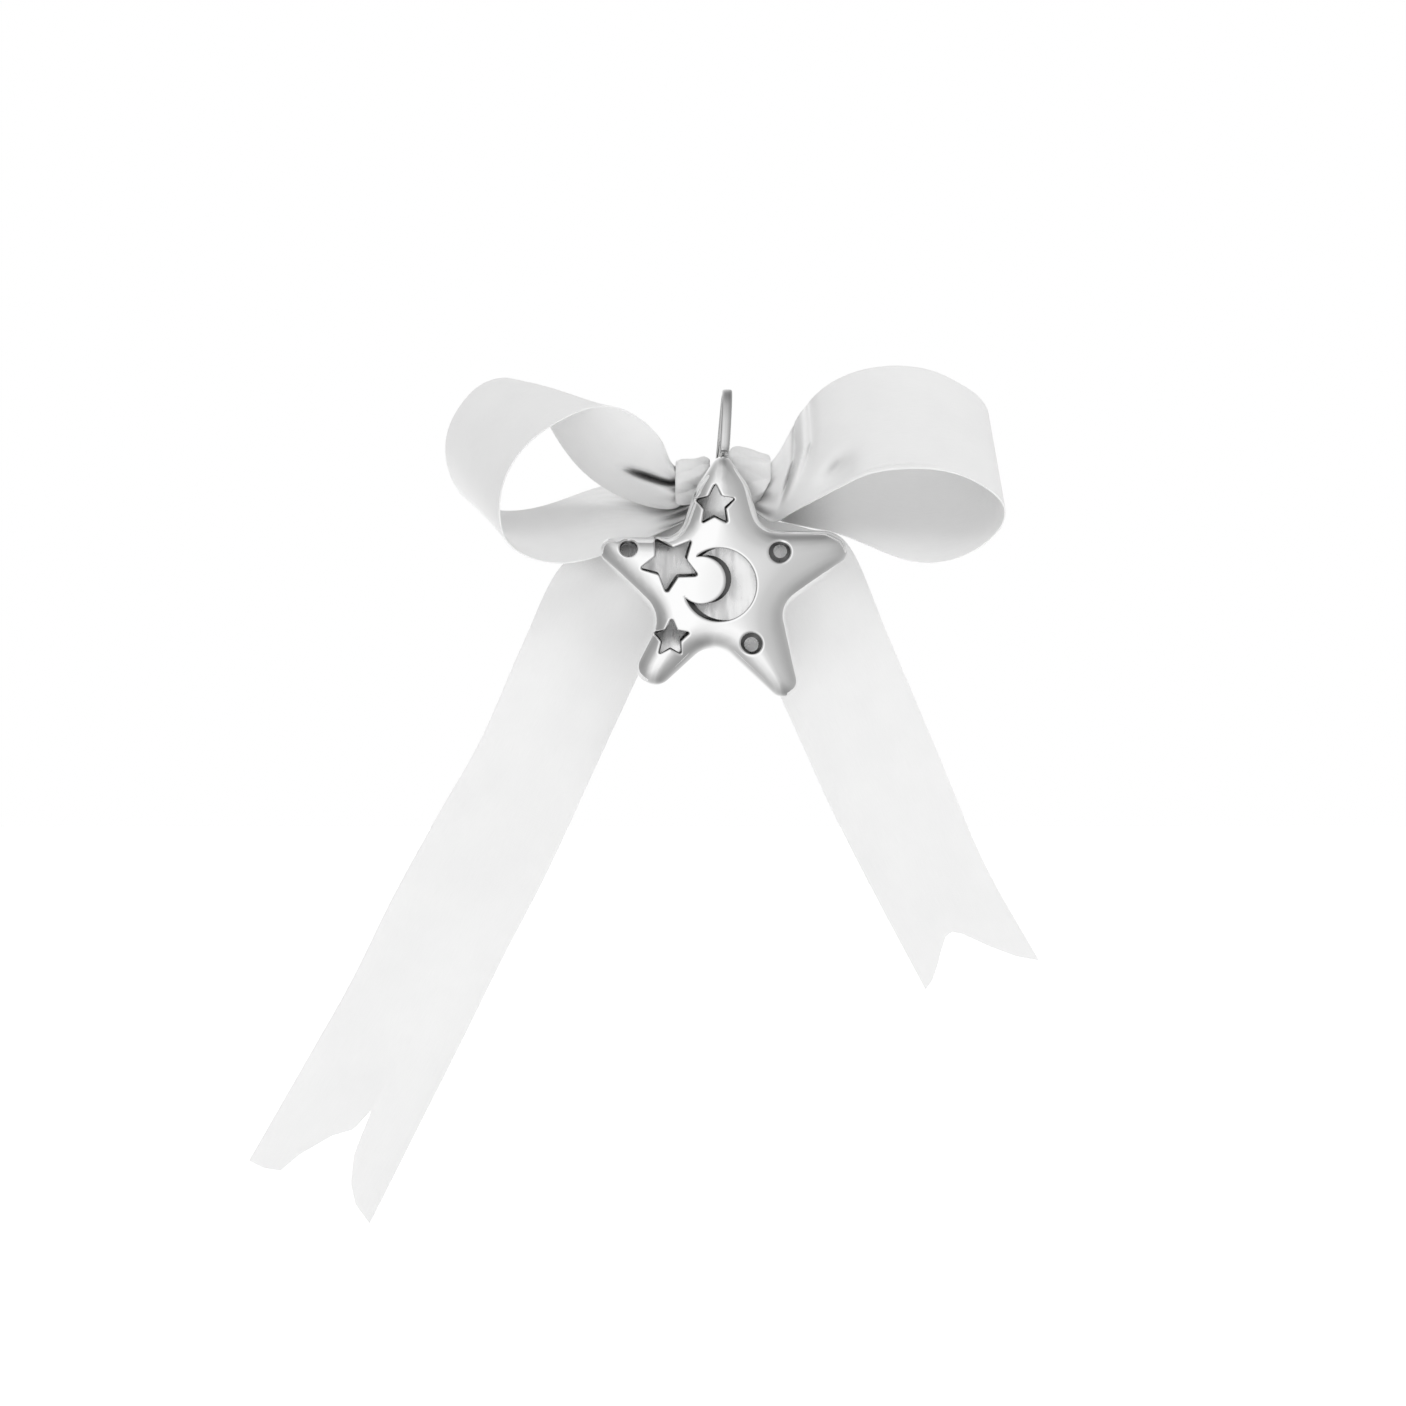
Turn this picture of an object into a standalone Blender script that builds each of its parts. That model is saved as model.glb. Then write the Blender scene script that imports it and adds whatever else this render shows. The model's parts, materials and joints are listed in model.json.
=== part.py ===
"""Gift bow of 25 mm satin ribbon with a pierced metal star hung on a ring.

Units are metres, +Z is up and the bow faces -Y. The origin is the middle of the
flat patch on the back of the knot, where the bow is stuck or tied to a gift.
Shapes are laid out in millimetres from the middle of the waist, which is the
gathered ribbon inside the knot, and bow_point() carries them to the part's frame.
"""

import math

import bmesh
import bpy
import numpy as np
from mathutils import Vector

MM = 0.001

# Driving dimensions, in millimetres.
GAP = 0.3  # left between pieces that touch
RIBBON_THICKNESS = 0.5
WAIST_RADIUS = 3.2
NECK_RADIUS = 2.6
THREAD_RADIUS = 0.25
THREAD_TURNS = 4
THREAD_SPACE = 0.12  # between one turn of the thread and the next
GROOVE = (-2.6, 1.1)  # the stretch of the waist that the ring runs in
KNOT_ENDS = (-8.8, 9.2)
KNOT_HALF_HEIGHT = 6.4
LEFT_TURN_LOWER = 1.6  # how much less high the left turn is
KNOT_FRONT = 5.2
KNOT_BACK = 5.5
PATCH_SIZE = (13.0, 0.6, 5.0)
PATCH_MIDDLE_Z = -1.0
RING_RADIUS = 4.55  # of the wire's middle, where it runs round the waist
RING_WIRE = (0.95, 0.65)  # half width and half thickness
RING_YAW, RING_LEAN, RING_SHIFT = 0.05, 0.068, -0.41
STAR_MIDDLE = (-0.2, -10.0, -20.4)
STAR_STATIONS = [  # (x, z, fillet) of each corner, clockwise from the top tip
    (0.0, 4.6, 2.1), (4.9, -0.9, 9.0), (8.2, -8.7, 4.0), (20.4, -9.9, 4.0), (23.9, -13.2, 2.8),
    (12.3, -24.6, 4.0), (13.0, -41.0, 3.0), (-1.9, -32.0, 5.0), (-15.4, -39.0, 3.5),
    (-13.2, -26.2, 5.0), (-23.2, -12.4, 2.6), (-9.0, -9.9, 4.5), (-4.7, -0.9, 9.0),
]
FRONT_DOME, BACK_DOME = 6.0, 4.2
SHELL_WALL = 0.9
SHELL_INNER_SCALE = 0.94

PATCH_BACK = KNOT_BACK + GAP + PATCH_SIZE[1]

SATIN = ("satin_ribbon", (0.90, 0.90, 0.90), 0.42, 0.0)
THREAD = ("binding_thread", (0.86, 0.86, 0.84), 0.8, 0.0)
SILVER = ("polished_metal", (0.80, 0.80, 0.80), 0.06, 1.0)


def bow_point(x, y, z):
    """A point laid out from the waist's middle, in the part's own frame."""
    return Vector((x * MM, (y - PATCH_BACK) * MM, (z - PATCH_MIDDLE_Z) * MM))


def clear_scene():
    for thing in list(bpy.data.objects):
        bpy.data.objects.remove(thing, do_unlink=True)


def material(spec):
    """The material of this name, made the first time that it is asked for."""
    name, colour, roughness, metallic = spec
    found = bpy.data.materials.get(name)
    if found:
        return found
    made = bpy.data.materials.new(name)
    made.use_nodes = True
    shader = made.node_tree.nodes["Principled BSDF"]
    shader.inputs["Base Color"].default_value = (*colour, 1.0)
    shader.inputs["Roughness"].default_value = roughness
    shader.inputs["Metallic"].default_value = metallic
    return made


def add_object(name, mesh_builder, spec, pivot=(0.0, 0.0, 0.0)):
    """An object from a bmesh laid out in the part's frame, with its origin at a pivot."""
    mesh = bpy.data.meshes.new(name)
    bmesh.ops.recalc_face_normals(mesh_builder, faces=mesh_builder.faces)
    bmesh.ops.translate(mesh_builder, verts=mesh_builder.verts, vec=-Vector(pivot))
    mesh_builder.to_mesh(mesh)
    mesh_builder.free()
    mesh.shade_smooth()
    mesh.set_sharp_from_angle(angle=math.radians(40))
    mesh.materials.append(material(spec))
    thing = bpy.data.objects.new(name, mesh)
    thing.location = pivot
    bpy.context.scene.collection.objects.link(thing)
    return thing


def smooth_curve(stations, count, closed=False):
    """Points along a Catmull-Rom curve through the stations, evenly spaced by station."""
    points = np.array(stations, float)
    last = len(points) if closed else len(points) - 1
    made = []
    for step in range(count):
        at = last * step / (count if closed else count - 1)
        i = min(int(at), last - 1)
        t = at - i
        if closed:
            p0, p1, p2, p3 = (points[(i + k) % len(points)] for k in (-1, 0, 1, 2))
        else:
            p1, p2 = points[i], points[i + 1]
            p0 = points[i - 1] if i > 0 else 2 * p1 - p2
            p3 = points[i + 2] if i + 2 < len(points) else 2 * p2 - p1
        made.append(
            0.5 * (2 * p1 + (p2 - p0) * t + (2 * p0 - 5 * p1 + 4 * p2 - p3) * t**2
                   + (3 * p1 - p0 - 3 * p2 + p3) * t**3)
        )
    return np.array(made)


def grid_normals(grid):
    """The unit normal at every point of a grid of points."""
    along = np.gradient(grid, axis=0)
    across = np.gradient(grid, axis=1)
    normal = np.cross(along, across)
    return normal / np.linalg.norm(normal, axis=2, keepdims=True)


def thick_sheet(grid, thickness):
    """A closed sheet of even thickness, whose middle surface is a grid of points."""
    rows, columns = grid.shape[:2]
    offset = grid_normals(grid) * thickness / 2
    build = bmesh.new()
    sides = []
    for side in (grid + offset, grid - offset):
        sides.append([[build.verts.new(bow_point(*p)) for p in row] for row in side])
    for side in sides:
        for r in range(rows - 1):
            for c in range(columns - 1):
                build.faces.new((side[r][c], side[r][c + 1], side[r + 1][c + 1], side[r + 1][c]))
    rim = [(0, c) for c in range(columns)]
    rim += [(r, columns - 1) for r in range(1, rows)]
    rim += [(rows - 1, c) for c in range(columns - 2, -1, -1)]
    rim += [(r, 0) for r in range(rows - 2, 0, -1)]
    for (r0, c0), (r1, c1) in zip(rim, rim[1:] + rim[:1]):
        build.faces.new((sides[0][r0][c0], sides[0][r1][c1], sides[1][r1][c1], sides[1][r0][c0]))
    return build


def closed_tube(path, half_width, half_thickness, sides):
    """A tube with an oval section along a closed path that lies close to a YZ plane."""
    tangent = np.roll(path, -1, axis=0) - np.roll(path, 1, axis=0)
    tangent /= np.linalg.norm(tangent, axis=1, keepdims=True)
    across = np.array([1.0, 0.0, 0.0]) - tangent * tangent[:, :1]
    across /= np.linalg.norm(across, axis=1, keepdims=True)
    out = np.cross(tangent, across)
    build = bmesh.new()
    rings = []
    for point, a, o in zip(path, across, out):
        ring = []
        for k in range(sides):
            turn = 2 * math.pi * k / sides
            place = point + a * half_width * math.cos(turn) + o * half_thickness * math.sin(turn)
            ring.append(build.verts.new(bow_point(*place)))
        rings.append(ring)
    for first, second in zip(rings, rings[1:] + rings[:1]):
        for k in range(sides):
            n = (k + 1) % sides
            build.faces.new((first[k], first[n], second[n], second[k]))
    return build


# ---------------------------------------------------------------- ribbon loops


def loop_grid(stations, rows, columns):
    """The middle surface of a loop: straight lines across from its front rim to its back rim."""
    front = smooth_curve([s[0] for s in stations], rows)
    back = smooth_curve([s[1] for s in stations], rows)
    share = np.linspace(0, 1, columns)[None, :, None]
    return front[:, None, :] * (1 - share) + back[:, None, :] * share


def left_loop():
    """From the knot up, over the top, round the left end and back under. Front rim, back rim."""
    stations = [
        ((-9.7, -3.4, 3.4), (-9.7, -1.0, -5.2)),
        ((-11.3, -7.5, 7.4), (-18.5, 3.5, -3.2)),
        ((-14.8, -10.5, 11.2), (-26.5, 6.5, 1.8)),
        ((-18.6, -12.0, 13.4), (-32.4, 8.0, 9.4)),
        ((-22.0, -12.0, 14.2), (-36.8, 7.0, 18.0)),
        ((-26.0, -11.5, 13.7), (-41.6, 6.5, 20.4)),
        ((-30.8, -11.0, 11.6), (-46.6, 6.7, 19.1)),
        ((-35.4, -10.5, 8.6), (-50.4, 8.0, 15.4)),
        ((-39.2, -10.3, 4.7), (-53.1, 9.6, 10.4)),
        ((-41.7, -10.3, 0.0), (-53.5, 11.2, 4.9)),
        ((-42.6, -10.3, -5.2), (-51.8, 12.4, -0.2)),
        ((-41.8, -10.0, -10.8), (-48.2, 13.2, -4.0)),
        ((-38.5, -9.5, -14.0), (-42.5, 13.5, -5.3)),
        ((-33.0, -8.5, -15.7), (-36.2, 13.6, -4.7)),
        ((-27.3, -7.0, -15.4), (-29.6, 13.6, -2.6)),
        ((-21.0, -5.2, -13.4), (-22.5, 12.0, -0.2)),
        ((-15.0, -2.8, -11.2), (-15.5, 8.5, -0.8)),
        ((-9.7, 0.4, -7.6), (-9.7, 3.4, -2.0)),
    ]
    add_object("left_loop", thick_sheet(loop_grid(stations, 52, 6), RIBBON_THICKNESS), SATIN)


def right_loop():
    """From the knot up the broad front strip, round the right end and back beneath."""
    stations = [
        ((9.8, -4.7, -8.0), (9.8, -1.2, 4.0)),
        ((12.9, -6.5, -6.4), (12.6, 3.0, 8.8)),
        ((18.8, -9.0, -3.2), (15.6, 5.5, 14.2)),
        ((24.2, -10.2, -0.4), (19.9, 5.2, 18.6)),
        ((29.0, -10.5, 1.5), (25.0, 4.3, 21.2)),
        ((34.4, -10.6, 2.2), (30.4, 3.6, 22.4)),
        ((39.6, -10.6, 2.2), (35.8, 3.4, 22.5)),
        ((44.2, -10.5, 1.5), (41.0, 3.7, 21.5)),
        ((48.3, -10.2, -0.1), (45.6, 4.6, 19.3)),
        ((51.8, -9.6, -2.3), (49.3, 5.8, 17.0)),
        ((54.1, -8.4, -4.9), (51.5, 7.8, 14.0)),
        ((53.9, -6.6, -8.1), (51.4, 9.6, 10.6)),
        ((51.2, -5.0, -11.4), (48.8, 10.6, 8.2)),
        ((46.8, -4.0, -14.1), (44.8, 11.0, 6.4)),
        ((41.0, -3.3, -15.7), (39.6, 11.0, 5.4)),
        ((35.0, -2.7, -15.0), (33.8, 10.8, 5.4)),
        ((29.0, -2.0, -12.6), (28.2, 10.4, 5.6)),
        ((22.5, -1.4, -9.9), (22.0, 9.2, 4.6)),
        ((15.8, -0.6, -8.5), (15.4, 6.8, 2.4)),
        ((9.9, 0.2, -7.4), (9.9, 4.0, -0.2)),
    ]
    add_object("right_loop", thick_sheet(loop_grid(stations, 56, 6), RIBBON_THICKNESS), SATIN)


# ---------------------------------------------------------------- ribbon tails


def tail_grid(left_edge, right_edge, rows, cut):
    """The middle surface of a tail. cut holds (share of the width, share of the length)."""
    shares = [place for place, _ in cut]
    ends = np.array([end for _, end in cut])
    dense = 400
    left = smooth_curve(left_edge, dense)
    right = smooth_curve(right_edge, dense)
    cut_starts = 0.8
    along = np.linspace(0, 1, rows)[:, None]
    stretched = cut_starts + (along - cut_starts) * (ends - cut_starts) / (1 - cut_starts)
    at = np.where(along > cut_starts, stretched, along) * (dense - 1)
    grid = np.empty((rows, len(shares), 3))
    for c, share in enumerate(shares):
        middle = left * (1 - share) + right * share
        for k in range(3):
            grid[:, c, k] = np.interp(at[:, c], np.arange(dense), middle[:, k])
    return grid


def left_tail(pivot):
    """The longer tail, which ends in a swallow tail with one blunt prong."""
    left_edge = [
        (-9.2, 2.0, -7.0), (-20.0, 2.0, -10.8), (-30.8, 2.0, -15.8), (-38.6, 2.3, -31.5),
        (-46.5, 2.5, -49.5), (-55.0, 1.5, -64.5), (-63.5, 0.8, -80.0), (-71.5, 1.6, -96.2),
        (-80.6, 2.8, -112.2), (-91.3, 3.2, -130.8),
    ]
    right_edge = [
        (-1.8, 2.0, -7.0), (-6.3, 2.0, -16.8), (-10.8, 2.0, -26.0), (-18.4, 2.2, -42.0),
        (-25.8, 2.4, -58.0), (-33.6, 1.6, -75.0), (-42.0, 0.8, -91.2), (-50.2, 1.2, -107.8),
        (-58.8, 1.8, -124.8), (-67.9, 2.0, -142.9),
    ]
    cut = [(0.0, 1.0), (0.12, 1.0), (0.24, 0.995), (0.42, 0.955), (0.62, 0.895),
           (0.7, 0.945), (0.82, 0.985), (1.0, 1.0)]
    build = thick_sheet(tail_grid(left_edge, right_edge, 40, cut), RIBBON_THICKNESS)
    add_object("left_tail", build, SATIN, pivot)


def right_tail(pivot):
    """The shorter tail, which runs behind the other one at the knot."""
    left_edge = [
        (1.8, 4.2, -7.0), (1.6, 4.2, -14.5), (2.4, 4.2, -23.0), (11.6, 4.2, -42.0),
        (21.4, 4.5, -63.5), (30.0, 4.6, -80.4), (39.3, 4.2, -97.9),
    ]
    right_edge = [
        (9.2, 4.2, -7.0), (16.5, 4.2, -8.8), (24.4, 4.2, -11.9), (32.2, 4.4, -29.8),
        (41.4, 4.6, -51.4), (50.6, 4.2, -73.2), (61.2, 3.2, -92.2),
    ]
    cut = [(0.0, 1.0), (0.16, 0.985), (0.38, 0.945), (0.5, 0.945), (0.7, 0.97),
           (0.88, 0.99), (1.0, 1.0)]
    build = thick_sheet(tail_grid(left_edge, right_edge, 30, cut), RIBBON_THICKNESS)
    add_object("right_tail", build, SATIN, pivot)


# ------------------------------------------------------------------------ knot


def turned_solid(profile, sides):
    """A solid turned about the X axis from (x, radius) pairs that run from end to end."""
    build = bmesh.new()
    rings = []
    for x, radius in profile:
        ring = []
        for k in range(sides):
            turn = 2 * math.pi * k / sides
            ring.append(build.verts.new(bow_point(x, radius * math.cos(turn), radius * math.sin(turn))))
        rings.append(ring)
    for first, second in zip(rings, rings[1:]):
        for k in range(sides):
            n = (k + 1) % sides
            build.faces.new((first[k], first[n], second[n], second[k]))
    build.faces.new(rings[0])
    build.faces.new(rings[-1])
    return build


def waist_core():
    """The ribbon of both loops gathered to a short rope, with a neck where it is bound."""
    start, end = KNOT_ENDS
    neck_start, neck_end = GROOVE[0] + GAP, GROOVE[1] - GAP
    profile = [
        (start - 0.3, WAIST_RADIUS * 0.8), (start + 0.5, WAIST_RADIUS),
        (neck_start - 0.3, WAIST_RADIUS), (neck_start, NECK_RADIUS),
        (neck_end, NECK_RADIUS), (neck_end + 0.3, WAIST_RADIUS),
        (end - 0.5, WAIST_RADIUS), (end + 0.3, WAIST_RADIUS * 0.8),
    ]
    add_object("waist_core", turned_solid(profile, 20), SATIN)


def binding_thread():
    """A few turns of thread wound tight round the neck of the waist."""
    radius = NECK_RADIUS + GAP + THREAD_RADIUS
    pitch = 2 * THREAD_RADIUS + THREAD_SPACE
    middle = sum(GROOVE) / 2
    turn_steps, sides = 14, 6
    steps = turn_steps * THREAD_TURNS
    path = []
    for step in range(steps + 1):
        turn = 2 * math.pi * step / turn_steps
        x = middle + pitch * (step / turn_steps - THREAD_TURNS / 2)
        path.append((x, radius * math.cos(turn), radius * math.sin(turn)))
    path = np.array(path)
    tangent = np.gradient(path, axis=0)
    tangent /= np.linalg.norm(tangent, axis=1, keepdims=True)
    out = np.column_stack([np.zeros(len(path)), path[:, 1] / radius, path[:, 2] / radius])
    across = np.cross(tangent, out)
    build = bmesh.new()
    rings = []
    for point, o, a in zip(path, out, across):
        ring = []
        for k in range(sides):
            turn = 2 * math.pi * k / sides
            place = point + THREAD_RADIUS * (o * math.cos(turn) + a * math.sin(turn))
            ring.append(build.verts.new(bow_point(*place)))
        rings.append(ring)
    for first, second in zip(rings, rings[1:]):
        for k in range(sides):
            n = (k + 1) % sides
            build.faces.new((first[k], first[n], second[n], second[k]))
    build.faces.new(rings[0])
    build.faces.new(rings[-1])
    add_object("binding_thread", build, THREAD)


def wrap_turn(name, profile):
    """One turn of the knot's wrap, a soft barrel round the waist with a flat back.

    profile holds (x, half height, how far it reaches forward).
    """
    sides = 28
    bore = WAIST_RADIUS + GAP
    squareness = 2.6
    build = bmesh.new()
    outer, inner = [], []
    for x, height, front in profile:
        rings = ([], [])
        for k in range(sides):
            turn = 2 * math.pi * (k + 0.5) / sides
            c, s = math.cos(turn), math.sin(turn)
            reach = (abs(c) ** squareness + abs(s) ** squareness) ** (-1 / squareness)
            depth = front * reach * c if c < 0 else (KNOT_BACK + 1.2) * reach * c
            y = min(depth, KNOT_BACK)
            rings[0].append(build.verts.new(bow_point(x, y, height * reach * s)))
            rings[1].append(build.verts.new(bow_point(x, bore * c, bore * s)))
        outer.append(rings[0])
        inner.append(rings[1])
    for wall in (outer, inner):
        for first, second in zip(wall, wall[1:]):
            for k in range(sides):
                n = (k + 1) % sides
                build.faces.new((first[k], first[n], second[n], second[k]))
    for end in (0, -1):
        for k in range(sides):
            n = (k + 1) % sides
            build.faces.new((outer[end][k], outer[end][n], inner[end][n], inner[end][k]))
    add_object(name, build, SATIN)


def knot_wrap():
    """The wrap strip goes round the waist once on each side of the ring."""
    start, end = KNOT_ENDS
    full, front = KNOT_HALF_HEIGHT, KNOT_FRONT
    low = full - LEFT_TURN_LOWER
    wrap_turn("left_wrap_turn", [
        (start, low - 0.6, front - 0.9), (start + 1.0, low - 0.1, front - 0.3),
        (start + 2.8, low, front), (GROOVE[0] - 1.2, low - 0.1, front - 0.2),
        (GROOVE[0], low - 0.2, front - 0.7),
    ])
    wrap_turn("right_wrap_turn", [
        (GROOVE[1], full - 0.8, front - 0.7), (GROOVE[1] + 1.4, full, front - 0.2),
        (end - 3.2, full - 0.2, front), (end - 1.0, full - 0.9, front - 0.3),
        (end, full - 2.2, front - 0.9),
    ])


def wrap_end_patch():
    """The wrap's end, glued flat across the back of both turns and behind the ring."""
    build = bmesh.new()
    bmesh.ops.create_cube(build, size=1.0)
    bmesh.ops.scale(build, verts=build.verts, vec=[side * MM for side in PATCH_SIZE])
    middle = bow_point(0.0, PATCH_BACK - PATCH_SIZE[1] / 2, PATCH_MIDDLE_Z)
    bmesh.ops.translate(build, verts=build.verts, vec=middle)
    upright = [e for e in build.edges if abs((e.verts[0].co - e.verts[1].co).y) > 0.1 * MM]
    bmesh.ops.bevel(build, geom=upright, offset=0.8 * MM, segments=3, affect="EDGES", profile=0.5)
    add_object("wrap_end_patch", build, SATIN)


# ------------------------------------------------------------------------ ring


def hanging_ring(pivot):
    """A flattened wire loop: round the waist below, an open eye above, soldered to the star."""
    lower = []
    for degrees in (14, -14, -42, -70, -98, -126, -154, -182):
        turn = math.radians(degrees)
        lower.append((RING_RADIUS * math.cos(turn), RING_RADIUS * math.sin(turn)))
    front = [(-5.6, 2.7), (-7.7, 4.7), (-9.3, 6.9), (-9.0, 9.8), (-8.0, 13.0), (-6.4, 15.8)]
    top = [(-4.3, 17.3), (-2.2, 15.9)]
    back = [(-0.6, 12.6), (1.0, 9.2), (2.6, 5.6)]
    flat = smooth_curve(lower + front + top + back, 60)
    across = RING_SHIFT - RING_YAW * flat[:, 0] + RING_LEAN * flat[:, 1]
    path = np.column_stack([across, flat])
    build = closed_tube(path, RING_WIRE[0], RING_WIRE[1], 10)
    add_object("hanging_ring", build, SILVER, pivot)


# ------------------------------------------------------------------------ star


def corner_round(before, corner, after):
    """Unit vectors from a corner to its neighbours and along their bisector, and half its angle."""
    back = (before - corner) / np.linalg.norm(before - corner)
    ahead = (after - corner) / np.linalg.norm(after - corner)
    bisector = (back + ahead) / np.linalg.norm(back + ahead)
    half = math.acos(float(np.clip(back @ ahead, -1, 1))) / 2
    return back, ahead, bisector, half


def rounded(corners, fillets, arc_steps):
    """A closed outline of (x, z) pairs through sharp corners, with a round at each."""
    outline = []
    for k, (corner, fillet) in enumerate(zip(corners, fillets)):
        after = corners[(k + 1) % len(corners)]
        back, ahead, bisector, half = corner_round(corners[k - 1], corner, after)
        middle = corner + bisector * fillet / math.sin(half)
        reach = fillet / math.tan(half)
        start = corner + back * reach - middle
        end = corner + ahead * reach - middle
        first = math.atan2(start[1], start[0])
        sweep = (math.atan2(end[1], end[0]) - first + math.pi) % (2 * math.pi) - math.pi
        for step in range(arc_steps + 1):
            turn = first + sweep * step / arc_steps
            outline.append(middle + fillet * np.array([math.cos(turn), math.sin(turn)]))
    return np.array(outline)


def rounded_star(point, notch, point_fillet, notch_fillet, arc_steps):
    """A regular five-pointed star with a round at every corner."""
    corners = []
    for k in range(10):
        radius = notch if k % 2 else point
        turn = math.pi / 2 - math.pi * k / 5
        corners.append(np.array([radius * math.cos(turn), radius * math.sin(turn)]))
    return rounded(corners, [point_fillet, notch_fillet] * 5, arc_steps)


def charm_outline(arc_steps):
    """The charm's uneven outline about its own middle, through every tip and notch."""
    middle = np.array([STAR_MIDDLE[0], STAR_MIDDLE[2]])
    passes = [np.array([x, z]) - middle for x, z, _ in STAR_STATIONS]
    fillets = [fillet for _, _, fillet in STAR_STATIONS]
    corners = list(passes)
    for _ in range(6):
        moved = []
        for k, corner in enumerate(corners):
            after = corners[(k + 1) % len(corners)]
            _, _, bisector, half = corner_round(corners[k - 1], corner, after)
            moved.append(passes[k] - bisector * fillets[k] * (1 / math.sin(half) - 1))
        corners = moved
    return rounded(corners, fillets, arc_steps)


def star_place(x, y, z):
    """A point given from the star's own middle."""
    return bow_point(STAR_MIDDLE[0] + x, STAR_MIDDLE[1] + y, STAR_MIDDLE[2] + z)


def dome_height(share, height):
    """How far the dome stands off the seam at a share of the way to its edge."""
    return height * math.sqrt(max(0.0, 1 - share**2.4))


def star_shell(name, height, facing, pivot):
    """Half of the hollow star: an outer dome, an inner dome and the rim between them."""
    outline = charm_outline(6)
    shares = [0.0, 0.2, 0.4, 0.58, 0.73, 0.84, 0.92, 0.97, 0.995, 1.0]
    build = bmesh.new()
    domes = []
    for scale, rise in ((1.0, height), (SHELL_INNER_SCALE, height - SHELL_WALL)):
        rings = []
        for share in shares[1:]:
            y = facing * (GAP / 2 + dome_height(share, rise))
            rings.append([build.verts.new(star_place(x * scale * share, y, z * scale * share))
                          for x, z in outline])
        middle = build.verts.new(star_place(0, facing * (GAP / 2 + rise), 0))
        domes.append((middle, rings))
    count = len(outline)
    for middle, rings in domes:
        for k in range(count):
            n = (k + 1) % count
            build.faces.new((middle, rings[0][k], rings[0][n]))
            for first, second in zip(rings, rings[1:]):
                build.faces.new((first[k], first[n], second[n], second[k]))
    for k in range(count):
        n = (k + 1) % count
        build.faces.new((domes[0][1][-1][k], domes[0][1][-1][n], domes[1][1][-1][n], domes[1][1][-1][k]))
    return add_object(name, build, SILVER, pivot)


def prism(outline):
    """A closed cutter that goes right through the front shell, from (x, z) pairs."""
    build = bmesh.new()
    near, far = -FRONT_DOME - 2.0, -0.5
    ends = []
    for y in (near, far):
        ends.append([build.verts.new(bow_point(x, STAR_MIDDLE[1] + y, z)) for x, z in outline])
    count = len(outline)
    build.faces.new(ends[0])
    build.faces.new(ends[1])
    for k in range(count):
        n = (k + 1) % count
        build.faces.new((ends[0][k], ends[0][n], ends[1][n], ends[1][k]))
    bmesh.ops.recalc_face_normals(build, faces=build.faces)
    return build


def star_outline(x, z, radius, first_point):
    """A small star with softened points, one of them in the direction first_point."""
    flat = rounded_star(radius * 1.08, radius * 0.55, radius * 0.06, radius * 0.12, 2)
    turn = math.radians(first_point - 90)
    c, s = math.cos(turn), math.sin(turn)
    return [(x + px * c - pz * s, z + px * s + pz * c) for px, pz in flat]


def round_outline(x, z, radius):
    turns = [2 * math.pi * k / 16 for k in range(16)]
    return [(x + radius * math.cos(t), z + radius * math.sin(t)) for t in turns]


def moon_outline():
    """A crescent between two circles, open to the left."""
    outer, outer_radius = (-0.5, -20.0), 7.0
    inner, inner_radius = (-3.9, -19.1), 4.6
    apart = math.dist(outer, inner)
    away = math.atan2(inner[1] - outer[1], inner[0] - outer[0])
    outer_half = math.acos((apart**2 + outer_radius**2 - inner_radius**2) / (2 * apart * outer_radius))
    inner_half = math.acos((apart**2 + inner_radius**2 - outer_radius**2) / (2 * apart * inner_radius))
    steps = 18
    outline = []
    for k in range(steps + 1):
        turn = away + outer_half + (2 * math.pi - 2 * outer_half) * k / steps
        outline.append((outer[0] + outer_radius * math.cos(turn), outer[1] + outer_radius * math.sin(turn)))
    for k in range(1, steps):
        turn = away + math.pi + inner_half - 2 * inner_half * k / steps
        outline.append((inner[0] + inner_radius * math.cos(turn), inner[1] + inner_radius * math.sin(turn)))
    return outline


def pierce(shell):
    """Cuts the moon, the three small stars and the three round holes through the front shell."""
    outlines = {
        "moon_cutter": moon_outline(),
        "side_star_cutter": star_outline(-9.9, -15.8, 5.6, -97),
        "top_star_cutter": star_outline(-1.4, -4.8, 4.0, 90),
        "low_star_cutter": star_outline(-9.8, -30.2, 3.6, 88),
        "left_hole_cutter": round_outline(-17.9, -12.9, 1.7),
        "right_hole_cutter": round_outline(11.0, -13.7, 2.1),
        "low_hole_cutter": round_outline(5.6, -31.2, 2.1),
    }
    for name, outline in outlines.items():
        cutter = add_object(name, prism(outline), SILVER)
        cutter.hide_render = True
        cutter.display_type = "WIRE"
        cut = shell.modifiers.new(name, "BOOLEAN")
        cut.object = cutter
        cut.operation = "DIFFERENCE"
        cut.solver = "EXACT"


def main():
    clear_scene()
    waist = bow_point(0.0, 0.0, 0.0)
    left_root = bow_point(-5.5, 2.0, -7.0)
    right_root = bow_point(5.5, 4.2, -7.0)
    waist_core()
    binding_thread()
    knot_wrap()
    wrap_end_patch()
    left_loop()
    right_loop()
    left_tail(left_root)
    right_tail(right_root)
    hanging_ring(waist)
    pierce(star_shell("star_front_shell", FRONT_DOME, -1, waist))
    star_shell("star_back_shell", BACK_DOME, 1, waist)


main()
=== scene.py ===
"""Looks for a gift bow of white satin ribbon with a pierced silver star on a ring.

Lengths in the shape code are millimetres from the middle of the waist, as in the
CAD source. world() carries them to metres in the shared frame.
"""

import json
import math

import bmesh
import bpy
import numpy as np
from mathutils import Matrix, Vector
from mathutils.geometry import delaunay_2d_cdt

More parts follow.
